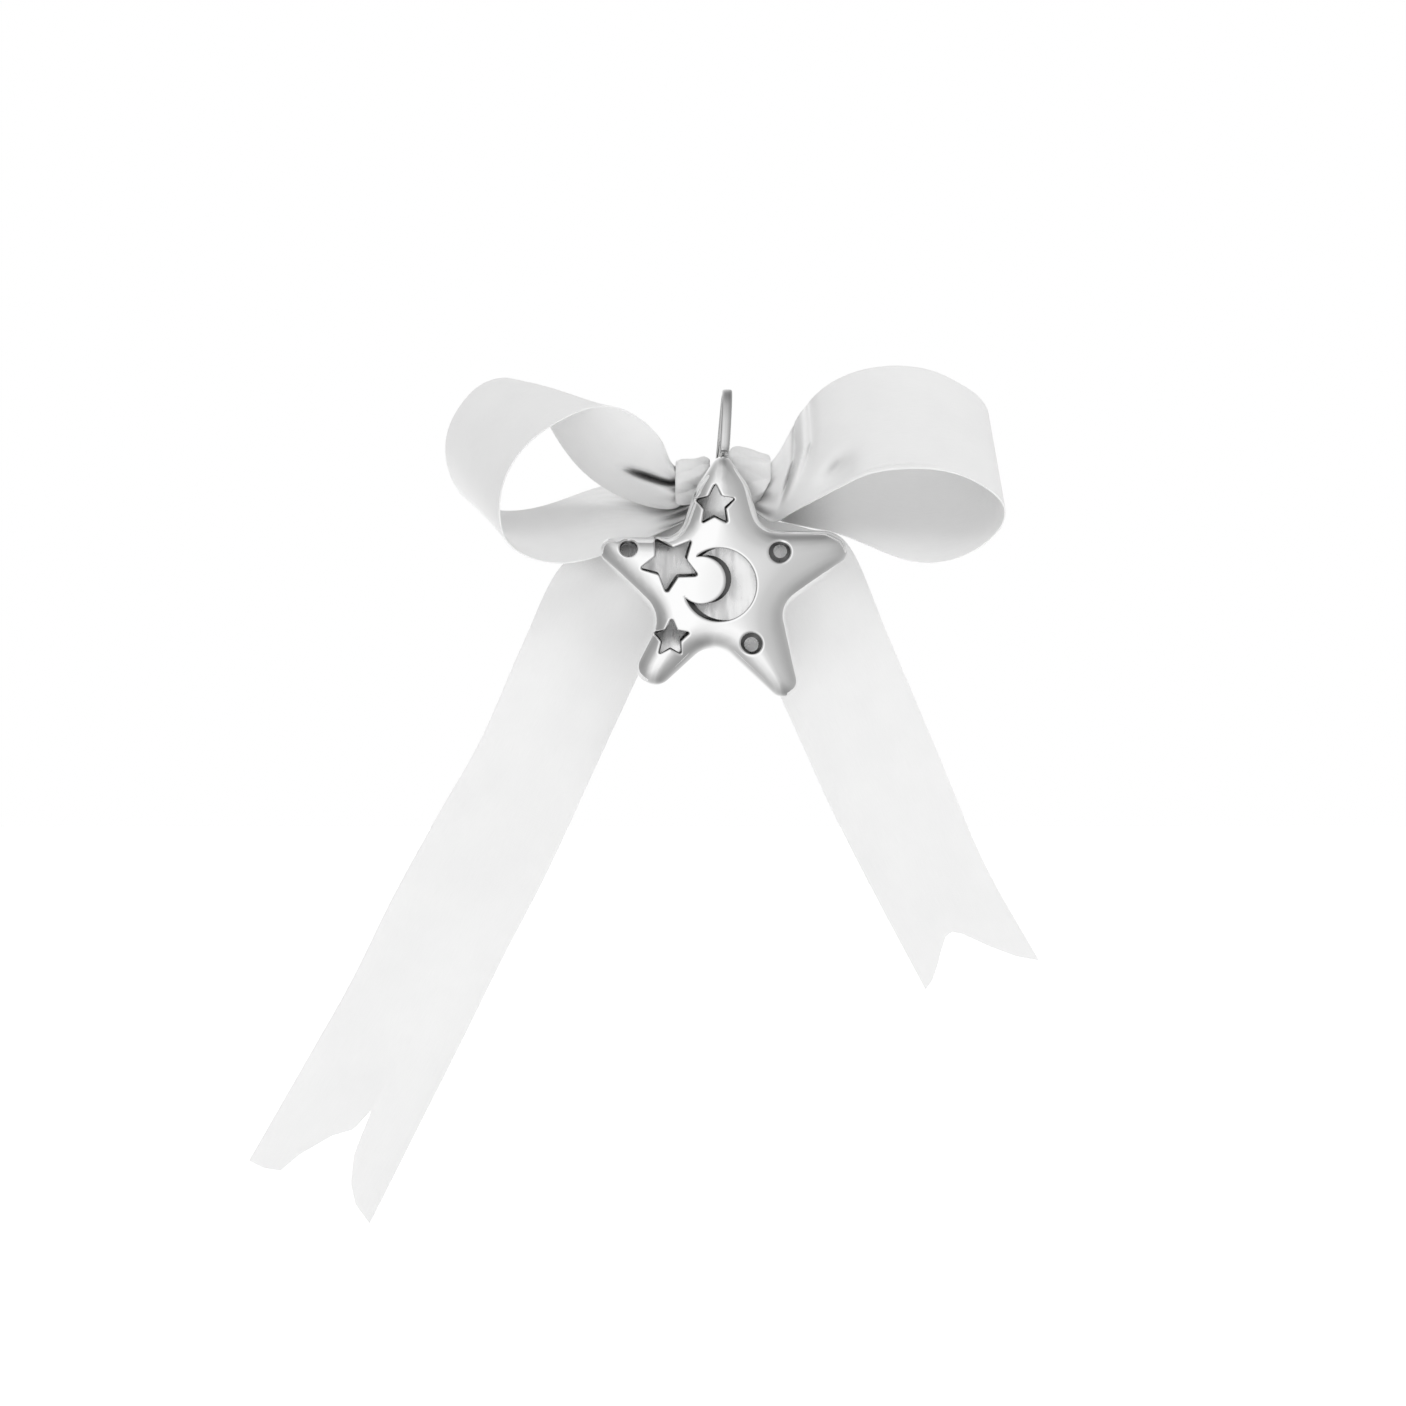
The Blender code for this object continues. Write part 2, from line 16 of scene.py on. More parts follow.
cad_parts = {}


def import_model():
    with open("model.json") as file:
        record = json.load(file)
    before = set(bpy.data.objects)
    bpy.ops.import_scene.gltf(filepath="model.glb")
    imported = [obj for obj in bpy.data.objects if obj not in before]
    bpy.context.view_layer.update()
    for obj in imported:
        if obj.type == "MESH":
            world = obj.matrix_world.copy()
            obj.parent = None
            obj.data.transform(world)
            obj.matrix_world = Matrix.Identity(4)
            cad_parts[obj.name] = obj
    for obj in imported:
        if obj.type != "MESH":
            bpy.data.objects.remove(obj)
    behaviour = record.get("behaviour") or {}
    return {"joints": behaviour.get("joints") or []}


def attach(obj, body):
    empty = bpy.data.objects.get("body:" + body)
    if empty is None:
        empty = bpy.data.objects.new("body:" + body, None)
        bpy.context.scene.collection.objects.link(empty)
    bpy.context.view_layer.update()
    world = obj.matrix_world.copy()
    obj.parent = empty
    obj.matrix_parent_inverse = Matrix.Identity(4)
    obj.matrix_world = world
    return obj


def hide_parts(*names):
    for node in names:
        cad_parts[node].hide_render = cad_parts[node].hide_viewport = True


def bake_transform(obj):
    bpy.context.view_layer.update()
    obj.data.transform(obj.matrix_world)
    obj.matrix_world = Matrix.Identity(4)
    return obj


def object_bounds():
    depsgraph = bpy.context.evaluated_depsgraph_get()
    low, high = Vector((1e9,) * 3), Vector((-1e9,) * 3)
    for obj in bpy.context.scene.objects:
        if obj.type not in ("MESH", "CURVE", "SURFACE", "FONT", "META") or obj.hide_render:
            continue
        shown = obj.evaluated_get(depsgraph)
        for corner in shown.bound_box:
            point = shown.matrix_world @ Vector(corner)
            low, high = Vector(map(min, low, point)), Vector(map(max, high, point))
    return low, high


MM = 0.001
RIBBON_WIDTH = 25.0
RIBBON_THICKNESS = 0.28
SELVEDGE_WIDTH = 0.9
SELVEDGE_EXTRA = 0.04
WRAP_WIDTH = 10.0

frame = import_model()
cad_low, cad_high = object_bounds()
JOINTS = {joint["name"]: joint for joint in frame["joints"]}
WAIST = np.array(JOINTS["star_swing"]["pos_m"], float)


def world(points):
    """Millimetres from the waist's middle to metres in the frame."""
    return np.asarray(points, float) * MM + WAIST


# ------------------------------------------------------------------- materials


def node(tree, kind, links=(), **values):
    """A shader node with the given sockets set, and (output, socket) links made into it."""
    made = tree.nodes.new(kind)
    for key, value in values.items():
        if key.startswith("p_"):
            setattr(made, key[2:], value)
        else:
            made.inputs[key.replace("_", " ")].default_value = value
    for output, socket in links:
        tree.links.new(output, made.inputs[socket])
    return made


def new_material(name):
    made = bpy.data.materials.new(name)
    made.use_nodes = True
    return made, made.node_tree, made.node_tree.nodes["Principled BSDF"]


def ramp(tree, output, stops):
    """A colour ramp. Each stop is (place, grey) or (place, colour)."""
    made = node(tree, "ShaderNodeValToRGB", [(output, "Fac")])
    elements = made.color_ramp.elements
    while len(elements) < len(stops):
        elements.new(0.5)
    for element, (place, value) in zip(elements, stops):
        element.position = place
        colour = value if isinstance(value, tuple) else (value,) * 3
        element.color = (*colour, 1.0)
    return made.outputs["Color"]


def multiplied(tree, first, second):
    made = node(tree, "ShaderNodeMix", [(first, 6), (second, 7)], p_data_type="RGBA",
                p_blend_type="MULTIPLY")
    made.inputs[0].default_value = 1.0
    return made.outputs[2]


def satin(name, tone):
    """White satin: long floats along the ribbon, faint weft lines, a woven selvedge, and painted
    shade that darkens the base colour in creases and folds.

    The UV map is in millimetres, along the ribbon and across it.
    """
    made, tree, shader = new_material(name)
    place = node(tree, "ShaderNodeTexCoord").outputs["UV"]
    split = node(tree, "ShaderNodeSeparateXYZ", [(place, 0)])
    floats_at = node(tree, "ShaderNodeMapping", [(place, "Vector")], Scale=(0.35, 7.0, 1.0))
    floats = node(tree, "ShaderNodeTexNoise", [(floats_at.outputs[0], "Vector")],
                  Scale=1.0, Detail=3.0, Roughness=0.6)
    warp = node(tree, "ShaderNodeTexWave", [(place, "Vector")], p_wave_type="BANDS",
                p_bands_direction="Y", Scale=0.8, Distortion=0.6, Detail=1.0, Detail_Scale=3.0)
    weft = node(tree, "ShaderNodeTexWave", [(place, "Vector")], p_wave_type="BANDS",
                p_bands_direction="X", Scale=0.62, Distortion=0.5, Detail=1.0, Detail_Scale=2.0)
    weave = node(tree, "ShaderNodeMath", [(warp.outputs["Fac"], 0), (weft.outputs["Fac"], 1)],
                 p_operation="MULTIPLY_ADD")
    tree.links.new(floats.outputs["Fac"], weave.inputs[2])
    cloudy = node(tree, "ShaderNodeTexNoise", [(place, "Vector")], Scale=0.09, Detail=2.0)
    colour = ramp(tree, cloudy.outputs["Fac"],
                  [(0.3, tone * 0.97), (0.7, (tone, tone, tone * 0.998))])
    streak = ramp(tree, floats.outputs["Fac"], [(0.3, 0.97), (0.7, 1.0)])
    # Painted shade: ambient occlusion within 12 mm, ramped to between 0.3 and 1, is multiplied into
    # the base colour. Creases, folds and ribbon that lies under other ribbon come out darker.
    crease_shade_occlusion = node(tree, "ShaderNodeAmbientOcclusion", p_samples=8, Distance=0.012)
    depth = ramp(tree, crease_shade_occlusion.outputs["AO"], [(0.1, 0.3), (0.65, 1.0)])
    colour_with_painted_shade = multiplied(tree, multiplied(tree, colour, streak), depth)
    tree.links.new(colour_with_painted_shade, shader.inputs["Base Color"])
    gloss = ramp(tree, floats.outputs["Fac"], [(0.25, 0.36), (0.75, 0.5)])
    tree.links.new(gloss, shader.inputs["Roughness"])
    bump = node(tree, "ShaderNodeBump", [(weave.outputs[0], "Height")], Strength=0.1,
                Distance=0.00005)
    across = node(tree, "ShaderNodeMath", [(split.outputs["Y"], 0)], p_operation="SUBTRACT")
    across.inputs[1].default_value = RIBBON_WIDTH / 2
    edge = node(tree, "ShaderNodeMath", [(across.outputs[0], 0)], p_operation="ABSOLUTE")
    cords = node(tree, "ShaderNodeMath", [(edge.outputs[0], 0)], p_operation="PINGPONG")
    cords.inputs[1].default_value = 0.22
    woven_edge = node(tree, "ShaderNodeMapRange", [(edge.outputs[0], 0)],
                      From_Min=RIBBON_WIDTH / 2 - 1.0, From_Max=RIBBON_WIDTH / 2 - 0.8)
    ridge = node(tree, "ShaderNodeMath", [(cords.outputs[0], 0), (woven_edge.outputs[0], 1)],
                 p_operation="MULTIPLY")
    rim = node(tree, "ShaderNodeBump", [(ridge.outputs[0], "Height"), (bump.outputs[0], "Normal")],
               Strength=0.35, Distance=0.0002)
    tree.links.new(rim.outputs[0], shader.inputs["Normal"])
    shader.inputs["Specular IOR Level"].default_value = 0.45
    shader.inputs["Subsurface Weight"].default_value = 0.25
    shader.inputs["Subsurface Radius"].default_value = (1.0, 1.0, 1.0)
    shader.inputs["Subsurface Scale"].default_value = 0.0008
    shader.inputs["Sheen Weight"].default_value = 0.12
    shader.inputs["Sheen Roughness"].default_value = 0.4
    return made


def silver(name, roughness, tone):
    """Silver, with hairline wear that shows as a change of gloss."""
    made, tree, shader = new_material(name)
    place = node(tree, "ShaderNodeTexCoord").outputs["Object"]
    stretched = node(tree, "ShaderNodeMapping", [(place, "Vector")], Scale=(900.0, 900.0, 90.0),
                     Rotation=(0.3, 0.5, 0.9))
    hair = node(tree, "ShaderNodeTexNoise", [(stretched.outputs[0], "Vector")], Scale=1.0,
                Detail=4.0)
    cloud = node(tree, "ShaderNodeTexNoise", [(place, "Vector")], Scale=160.0, Detail=3.0)
    both = node(tree, "ShaderNodeMath", [(hair.outputs["Fac"], 0), (cloud.outputs["Fac"], 1)],
                p_operation="MULTIPLY")
    gloss = ramp(tree, both.outputs[0], [(0.15, roughness * 0.6), (0.45, roughness * 1.5)])
    tree.links.new(gloss, shader.inputs["Roughness"])
    colour = ramp(tree, cloud.outputs["Fac"], [(0.3, tone * 0.98), (0.7, tone)])
    tree.links.new(colour, shader.inputs["Base Color"])
    bump = node(tree, "ShaderNodeBump", [(hair.outputs["Fac"], "Height")], Strength=0.02,
                Distance=0.00002)
    tree.links.new(bump.outputs[0], shader.inputs["Normal"])
    shader.inputs["Metallic"].default_value = 1.0
    return made


def cotton(name):
    """Dull white thread with its twist; the twist's grooves are darkened with painted shade."""
    made, tree, shader = new_material(name)
    place = node(tree, "ShaderNodeTexCoord").outputs["Object"]
    twist = node(tree, "ShaderNodeTexWave", [(place, "Vector")], p_wave_type="BANDS",
                 p_bands_direction="DIAGONAL", Scale=1200.0, Distortion=2.0)
    # Painted shade: the low part of each twist band, which is the groove in the bump, is coloured
    # darker (0.7 against 0.88).
    colour = ramp(tree, twist.outputs["Fac"], [(0.0, (0.7, 0.7, 0.68)), (1.0, (0.88, 0.88, 0.86))])
    tree.links.new(colour, shader.inputs["Base Color"])
    bump = node(tree, "ShaderNodeBump", [(twist.outputs["Fac"], "Height")], Strength=0.5,
                Distance=0.0001)
    tree.links.new(bump.outputs[0], shader.inputs["Normal"])
    shader.inputs["Roughness"].default_value = 0.85
    return made


SATIN = satin("satin_ribbon_white", 0.83)
SILVER = silver("polished_silver", 0.045, 0.95)
RING_SILVER = silver("ring_silver", 0.1, 0.7)
SILVER_INSIDE = silver("silver_inside", 0.3, 0.95)
# Painted shade: the walls of the pierced holes get a dark silver (tone 0.22) that stands in for the
# shade and dark reflections inside the holes.
SILVER_HOLE_WALL_SHADE = silver("silver_hole_wall_painted_shade", 0.3, 0.22)
COTTON = cotton("binding_thread_cotton")


# ---------------------------------------------------------------- mesh helpers


def mesh_object(name, points, faces, material, uvs=None, sharp=50.0):
    """An object from points in bow millimetres, with outward normals and smooth shading."""
    mesh = bpy.data.meshes.new(name)
    mesh.from_pydata(world(points).tolist(), [], [list(f) for f in faces])
    if uvs is not None:
        layer = mesh.uv_layers.new(name="UVMap")
        corner = np.empty(len(mesh.loops), np.int32)
        mesh.loops.foreach_get("vertex_index", corner)
        layer.data.foreach_set("uv", np.asarray(uvs, np.float32)[corner].ravel())
    build = bmesh.new()
    build.from_mesh(mesh)
    bmesh.ops.recalc_face_normals(build, faces=build.faces)
    build.to_mesh(mesh)
    build.free()
    mesh.shade_smooth()
    mesh.set_sharp_from_angle(angle=math.radians(sharp))
    mesh.materials.append(material)
    made = bpy.data.objects.new(name, mesh)
    bpy.context.scene.collection.objects.link(made)
    return made


def quads(rows, columns, first=0, closed_rows=False, closed_columns=False):
    """The quads of a grid of points numbered row by row."""
    made = []
    for r in range(rows if closed_rows else rows - 1):
        for c in range(columns if closed_columns else columns - 1):
            r2, c2 = (r + 1) % rows, (c + 1) % columns
            made.append((first + r * columns + c, first + r * columns + c2,
                         first + r2 * columns + c2, first + r2 * columns + c))
    return made


def grid_normals(grid, closed_rows=False):
    along = np.gradient(grid, axis=0)
    if closed_rows:
        along = np.roll(grid, -1, axis=0) - np.roll(grid, 1, axis=0)
    across = np.gradient(grid, axis=1)
    normal = np.cross(along, across)
    return normal / np.maximum(np.linalg.norm(normal, axis=2, keepdims=True), 1e-9)


def path_length(path):
    steps = np.linalg.norm(np.diff(path, axis=0), axis=1)
    return np.concatenate([[0.0], np.cumsum(steps)])


def sheet_object(name, grid, thickness, material, width=RIBBON_WIDTH, closed_rows=False):
    """A closed sheet whose middle is a grid of points. Columns run across the ribbon's width."""
    rows, columns = grid.shape[:2]
    share = np.linspace(0, 1, columns)
    to_edge = np.minimum(share, 1 - share) * width
    extra = SELVEDGE_EXTRA * np.clip(1 - to_edge / SELVEDGE_WIDTH, 0, 1) ** 0.5
    extra[0] = extra[-1] = 0.0
    half = grid_normals(grid, closed_rows) * ((thickness + extra) / 2)[None, :, None]
    points = np.concatenate([(grid + half).reshape(-1, 3), (grid - half).reshape(-1, 3)])
    count = rows * columns
    faces = quads(rows, columns, 0, closed_rows) + quads(rows, columns, count, closed_rows)
    if closed_rows:
        rims = [[r * columns + edge for r in range(rows)] for edge in (0, columns - 1)]
    else:
        rim = list(range(columns))
        rim += [r * columns + columns - 1 for r in range(1, rows)]
        rim += [(rows - 1) * columns + c for c in range(columns - 2, -1, -1)]
        rim += [r * columns for r in range(rows - 2, 0, -1)]
        rims = [rim]
    for rim in rims:
        for a, b in zip(rim, rim[1:] + rim[:1]):
            faces.append((a, b, count + b, count + a))
    along = path_length(grid[:, columns // 2])
    uv = np.stack(np.meshgrid(along, share * width, indexing="ij"), axis=2).reshape(-1, 2)
    return mesh_object(name, points, faces, material, np.concatenate([uv, uv]))


def smooth_curve(stations, at):
    """Catmull-Rom points at the given station numbers."""
    points = np.array(stations, float)
    i = np.clip(at.astype(int), 0, len(points) - 2)
    t = (at - i)[:, None]
    padded = np.vstack([2 * points[0] - points[1], points, 2 * points[-1] - points[-2]])
    p0, p1, p2, p3 = padded[i], padded[i + 1], padded[i + 2], padded[i + 3]
    return 0.5 * (2 * p1 + (p2 - p0) * t + (2 * p0 - 5 * p1 + 4 * p2 - p3) * t**2
                  + (3 * p1 - p0 - 3 * p2 + p3) * t**3)


def eased(curve, passes):
    """An open curve smoothed so that its bend changes slowly."""
    made = curve.copy()
    for _ in range(passes):
        made[1:-1] = made[:-2] * 0.25 + made[1:-1] * 0.5 + made[2:] * 0.25
    return made


def hump(x, middle, width):
    return np.exp(-(((x - middle) / width) ** 2))


def rise(x, start, end):
    t = np.clip((x - start) / (end - start), 0, 1)
    return t * t * (3 - 2 * t)


def soft(piece, nodes):
    """A sheet that rides on the bow."""
    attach(piece, "bow")
    finish_soft(nodes)


def finish_soft(nodes):
    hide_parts(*nodes)


# ---------------------------------------------------------------- ribbon loops


def loop_surface(stations, rows, columns):
    """Points, station numbers and shares of the width of a loop's middle surface."""
    at = np.linspace(0, len(stations) - 1, rows)
    front = eased(smooth_curve([s[0] for s in stations], at), 30)
    back = eased(smooth_curve([s[1] for s in stations], at), 30)
    share = np.linspace(0, 1, columns)
    grid = front[:, None, :] * (1 - share)[None, :, None] + back[:, None, :] * share[None, :, None]
    return grid, at[:, None] - 1.0, share[None, :]


def left_loop():
    stations = [  # the front edge and the back edge, from the upper root round to the lower
        ((-6.6, -1.9, 1.6), (-6.6, -0.4, -2.6)),
        ((-9.7, -3.4, 3.4), (-9.7, -1.0, -5.4)),
        ((-11.3, -7.5, 7.4), (-18.5, 3.5, -3.2)),
        ((-14.8, -10.5, 11.2), (-26.5, 6.5, 1.8)),
        ((-18.6, -12.0, 13.4), (-32.4, 8.0, 9.4)),
        ((-22.0, -12.0, 14.2), (-36.8, 7.0, 18.0)),
        ((-26.0, -11.5, 13.7), (-41.6, 6.5, 20.4)),
        ((-30.8, -11.0, 11.6), (-46.6, 6.7, 19.1)),
        ((-35.4, -10.5, 8.6), (-50.4, 8.0, 15.4)),
        ((-39.2, -10.3, 4.7), (-53.1, 9.6, 10.4)),
        ((-41.7, -10.3, 0.0), (-53.5, 11.2, 4.9)),
        ((-42.6, -10.3, -5.2), (-51.8, 12.4, -0.2)),
        ((-41.8, -10.0, -10.8), (-48.2, 13.2, -4.0)),
        ((-38.5, -9.5, -14.0), (-42.5, 13.5, -5.3)),
        ((-33.0, -8.5, -15.7), (-36.2, 13.6, -4.7)),
        ((-27.3, -7.0, -15.4), (-29.6, 13.6, -2.6)),
        ((-21.0, -5.2, -13.4), (-22.5, 12.0, -0.2)),
        ((-15.0, -2.8, -11.2), (-15.5, 8.5, -0.8)),
        ((-9.7, 0.4, -8.6), (-9.7, 3.4, -2.0)),
        ((-5.2, 1.0, -6.6), (-6.6, 2.0, -1.0)),
    ]
    grid, s, v = loop_surface(stations, 260, 96)
    last = len(stations) - 3
    crease = 4.6 * hump(v, 0.42 + 0.13 * s, 0.065) * (1 - rise(s, 0.8, 1.9))
    crease -= 0.5 * hump(v, 0.72 + 0.05 * s, 0.12) * (1 - rise(s, 0.4, 1.8))
    at_ends = hump(s, -0.6, 1.0) + hump(s, last + 0.6, 1.1)
    pleats = 0.45 * np.sin(2 * math.pi * 4 * v + 0.7) * at_ends
    fan = np.sin(2 * math.pi * (13.0 * v + 0.22 * (s - 13.0) ** 2))
    wrinkles = 0.13 * fan * hump(s, last - 2.0, 0.8) * rise(v, 0.22, 0.5)
    grid[:, :, 1] += crease + pleats + wrinkles
    grid[:, :, 2] += 0.8 * np.sin(math.pi * v) * hump(s, 5.0, 1.4)
    piece = sheet_object("left_loop_ribbon", grid, RIBBON_THICKNESS, SATIN)
    soft(piece, ["left_loop"])


def right_loop():
    stations = [  # the front edge and the back edge, from the upper root round to the lower
        ((5.8, -3.2, -5.4), (6.6, -0.6, 1.8)),
        ((9.8, -4.7, -8.0), (9.8, -1.2, 4.0)),
        ((12.9, -6.5, -6.2), (12.6, 3.0, 8.8)),
        ((18.8, -9.0, -3.2), (15.6, 5.5, 14.2)),
        ((24.2, -10.2, -0.4), (19.9, 5.2, 18.6)),
        ((29.0, -10.5, 1.5), (25.0, 4.3, 21.2)),
        ((34.4, -10.6, 2.2), (30.4, 3.6, 22.4)),
        ((39.6, -10.6, 2.2), (35.8, 3.4, 22.5)),
        ((44.2, -10.5, 1.5), (41.0, 3.7, 21.5)),
        ((48.3, -10.2, -0.1), (45.6, 4.6, 19.3)),
        ((51.8, -9.6, -2.3), (49.3, 5.8, 17.0)),
        ((54.1, -8.4, -4.9), (51.5, 7.8, 14.0)),
        ((53.9, -6.6, -8.1), (51.4, 9.6, 10.6)),
        ((51.2, -5.0, -11.4), (48.8, 10.6, 8.2)),
        ((46.8, -4.0, -14.1), (44.8, 11.0, 6.4)),
        ((41.0, -3.3, -15.7), (39.6, 11.0, 5.4)),
        ((35.0, -2.7, -15.0), (33.8, 10.8, 5.4)),
        ((29.0, -2.0, -12.6), (28.2, 10.4, 5.6)),
        ((22.5, -1.4, -9.9), (22.0, 9.2, 4.6)),
        ((15.8, -0.6, -8.5), (15.4, 6.8, 2.4)),
        ((9.9, 0.2, -7.0), (9.9, 4.0, -0.2)),
        ((6.6, 0.4, -2.8), (6.6, 2.2, 0.2)),
    ]
    grid, s, v = loop_surface(stations, 280, 96)
    last = len(stations) - 3
    line = 0.5 * (v - 0.7) - 1.5 * np.clip(0.62 - v, 0, 1)
    folds = -1.4 * hump(s, 1.8 + line, 0.26) * rise(v, 0.12, 0.5)
    folds += 1.3 * hump(s, 1.38 + line, 0.24) * rise(v, 0.12, 0.5)
    folds += 1.1 * hump(s, 2.15 + line, 0.24) * rise(v, 0.3, 0.6)
    folds += 3.6 * hump(s, 2.6 + 1.0 * v, 0.6) * hump(v, 0.17, 0.12)
    hem_stretch = rise(s, 1.6, 2.6) * (1 - rise(s, 4.6, 7.5))
    hem = -0.22 * np.sin(math.pi * np.clip(v / 0.036, 0, 1)) * hem_stretch
    hem += 0.22 * hump(v, 0.044, 0.01) * hem_stretch
    at_ends = hump(s, -0.6, 1.0) + hump(s, last + 0.6, 1.0)
    pleats = 0.4 * np.sin(2 * math.pi * 3 * v + 0.4) * at_ends
    grid[:, :, 1] += folds + hem + pleats
    piece = sheet_object("right_loop_ribbon", grid, RIBBON_THICKNESS, SATIN)
    soft(piece, ["right_loop"])


# ---------------------------------------------------------------- ribbon tails


def tail_surface(left_edge, right_edge, cut, rows, columns):
    """A tail between two edges. cut holds (share of the width, share of the length)."""
    dense = 900
    at = np.linspace(0, len(left_edge) - 1, dense)
    left = eased(smooth_curve(left_edge, at), 120)
    right = eased(smooth_curve(right_edge, np.linspace(0, len(right_edge) - 1, dense)), 120)
    share = np.linspace(0, 1, columns)
    ends = np.interp(share, [c[0] for c in cut], [c[1] for c in cut])
    cut_starts = 0.8
    along = np.linspace(0, 1, rows)[:, None]
    stretched = cut_starts + (along - cut_starts) * (ends[None, :] - cut_starts) / (1 - cut_starts)
    where = np.where(along > cut_starts, stretched, along) * (dense - 1)
    grid = np.empty((rows, columns, 3))
    for c in range(columns):
        middle = left * (1 - share[c]) + right * share[c]
        for k in range(3):
            grid[:, c, k] = np.interp(where[:, c], np.arange(dense), middle[:, k])
    return grid, along, share[None, :], ends


def finish_tail(name, node_name, grid):
    """Makes the tail's sheet, bakes its place into the mesh and hides the CAD tail."""
    piece = sheet_object(name, grid, RIBBON_THICKNESS, SATIN)
    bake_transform(piece)
    finish_soft([node_name])


def left_tail():
    left_edge = [
        (-8.4, 2.3, -4.7), (-9.2, 2.0, -7.0), (-20.0, 2.0, -10.8), (-30.8, 2.0, -15.8),
        (-38.6, 2.3, -31.5), (-46.5, 2.5, -49.5), (-55.0, 1.5, -64.5), (-63.5, 0.8, -80.0),
        (-71.5, 1.6, -96.2), (-80.6, 2.8, -112.2), (-91.3, 3.2, -130.8),
    ]
    right_edge = [
        (-2.4, 2.3, -5.3), (-1.8, 2.0, -7.0), (-6.3, 2.0, -16.8), (-10.8, 2.0, -26.0),
        (-18.4, 2.2, -42.0), (-25.8, 2.4, -58.0), (-33.6, 1.6, -75.0), (-42.0, 0.8, -91.2),
        (-50.2, 1.2, -107.8), (-58.8, 1.8, -124.8), (-67.9, 2.0, -142.9),
    ]
    cut = [(0.0, 1.0), (0.12, 1.0), (0.24, 0.995), (0.30, 0.975), (0.45, 0.945), (0.57, 0.93),
           (0.62, 0.905), (0.635, 0.92), (0.66, 0.95), (0.74, 0.975), (0.84, 0.99), (1.0, 1.0)]
    grid, u, v, ends = tail_surface(left_edge, right_edge, cut, 260, 72)
    waves = 0.35 * np.sin(2 * math.pi * (2.3 * u + 0.35 * v)) * rise(u, 0.15, 0.4)
    curl = -0.5 * hump(v, 0.0, 0.06) * rise(u, 0.3, 0.6)
    pleats = 0.5 * np.sin(2 * math.pi * 3 * v) * hump(u, 0.0, 0.07)
    grid[:, :, 1] += waves + curl + pleats
    finish_tail("left_tail_ribbon", "left_tail", grid)


def right_tail():
    left_edge = [
        (2.0, 4.2, -5.6), (1.8, 4.2, -7.0), (1.6, 4.2, -14.5), (2.4, 4.2, -23.0),
        (11.6, 4.2, -42.0), (21.4, 4.5, -63.5), (30.0, 4.6, -80.4), (39.3, 4.2, -97.9),
    ]
    right_edge = [
        (8.6, 4.2, -5.6), (9.2, 4.2, -7.0), (16.5, 4.2, -8.8), (24.4, 4.2, -11.9),
        (32.2, 4.4, -29.8), (41.4, 4.6, -51.4), (50.6, 4.2, -73.2), (61.2, 3.2, -92.2),
    ]
    cut = [(0.0, 1.0), (0.09, 0.99), (0.2, 0.97), (0.3, 0.95), (0.38, 0.936), (0.45, 0.932),
           (0.52, 0.938), (0.68, 0.965), (0.84, 0.987), (1.0, 1.0)]
    grid, u, v, ends = tail_surface(left_edge, right_edge, cut, 220, 72)
    waves = 0.3 * np.sin(2 * math.pi * (1.7 * u - 0.3 * v)) * rise(u, 0.15, 0.4)
    curl = -0.8 * hump(v, 0.0, 0.07) * rise(u, 0.2, 0.45) * (1 - rise(u, 0.8, 1.0))
    pleats = 0.45 * np.sin(2 * math.pi * 3 * v + 0.8) * hump(u, 0.0, 0.08)
    grid[:, :, 1] += waves + curl + pleats
    finish_tail("right_tail_ribbon", "right_tail", grid)


# ------------------------------------------------------------------------ knot


def triangle_wave(t):
    """From -1 to 1 and back once in each unit of t."""
    return 2 * np.abs(2 * (t - np.floor(t + 0.5))) - 1


def wrap_band(name, node_name, profile, phase, slant=0.0):
    """One turn of the wrap: a narrow strip pulled round the waist into flat facets.

    The profile's points are (x, half the height, depth in front). The outer edge leans in by
    slant, low at the front.
    """
    knot_back, squareness = 5.4, 2.6
    rows, columns = 180, 48
    x, heights, fronts = smooth_curve(profile, np.linspace(0, len(profile) - 1, columns)).T
    turn = 2 * math.pi * (np.arange(rows) + 0.5) / rows
    share = np.linspace(0, 1, columns)[None, :]
    facets = 0.1 * triangle_wave(6 * turn[:, None] / (2 * math.pi) + 1.1 * share + phase)
    facets += 0.03 * triangle_wave(9 * turn[:, None] / (2 * math.pi) - 1.9 * share + 2 * phase)
    facets += 0.05 * np.sin(2 * math.pi * (1.5 * share + 0.5 * np.sin(turn)[:, None] + phase))
    c, s = np.cos(turn), np.sin(turn)
    reach = (np.abs(c) ** squareness + np.abs(s) ** squareness) ** (-1 / squareness)
    grid = np.empty((rows, columns, 3))
    low_front = rise(-s, -0.2, 0.8) * rise(-c, -0.3, 0.5)
    grid[:, :, 0] = x[None, :] - slant * low_front[:, None] * rise(np.abs(x), 4.0, 8.6)[None, :]
    grow = 0.96 + facets
    depth = np.where(c[:, None] < 0, fronts[None, :], knot_back + 0.9)
    grid[:, :, 1] = np.minimum(depth * (reach * c)[:, None] * grow, knot_back - 0.15)
    grid[:, :, 2] = heights[None, :] * (reach * s)[:, None] * grow
    piece = sheet_object(name, grid, RIBBON_THICKNESS, SATIN, width=WRAP_WIDTH, closed_rows=True)
    soft(piece, [node_name])


def knot():
    left = [(-7.7, 3.3, 3.3), (-8.5, 3.5, 3.6), (-8.8, 3.9, 4.1), (-7.9, 4.2, 4.8),
            (-6.0, 4.1, 5.0), (-4.6, 4.3, 4.9), (-3.4, 4.6, 4.8), (-2.6, 4.5, 4.4),
            (-2.5, 3.9, 3.9), (-3.1, 3.5, 3.6)]
    right = [(2.0, 3.5, 3.6), (1.5, 4.4, 3.9), (1.55, 5.5, 4.4), (2.6, 6.3, 5.0), (6.0, 6.1, 5.2),
             (8.3, 5.3, 4.8), (9.2, 4.4, 4.2), (8.9, 3.8, 3.6), (8.0, 3.4, 3.3)]
    wrap_band("left_wrap_band", "left_wrap_turn", left, 0.1)
    wrap_band("right_wrap_band", "right_wrap_turn", right, 0.43, slant=1.8)


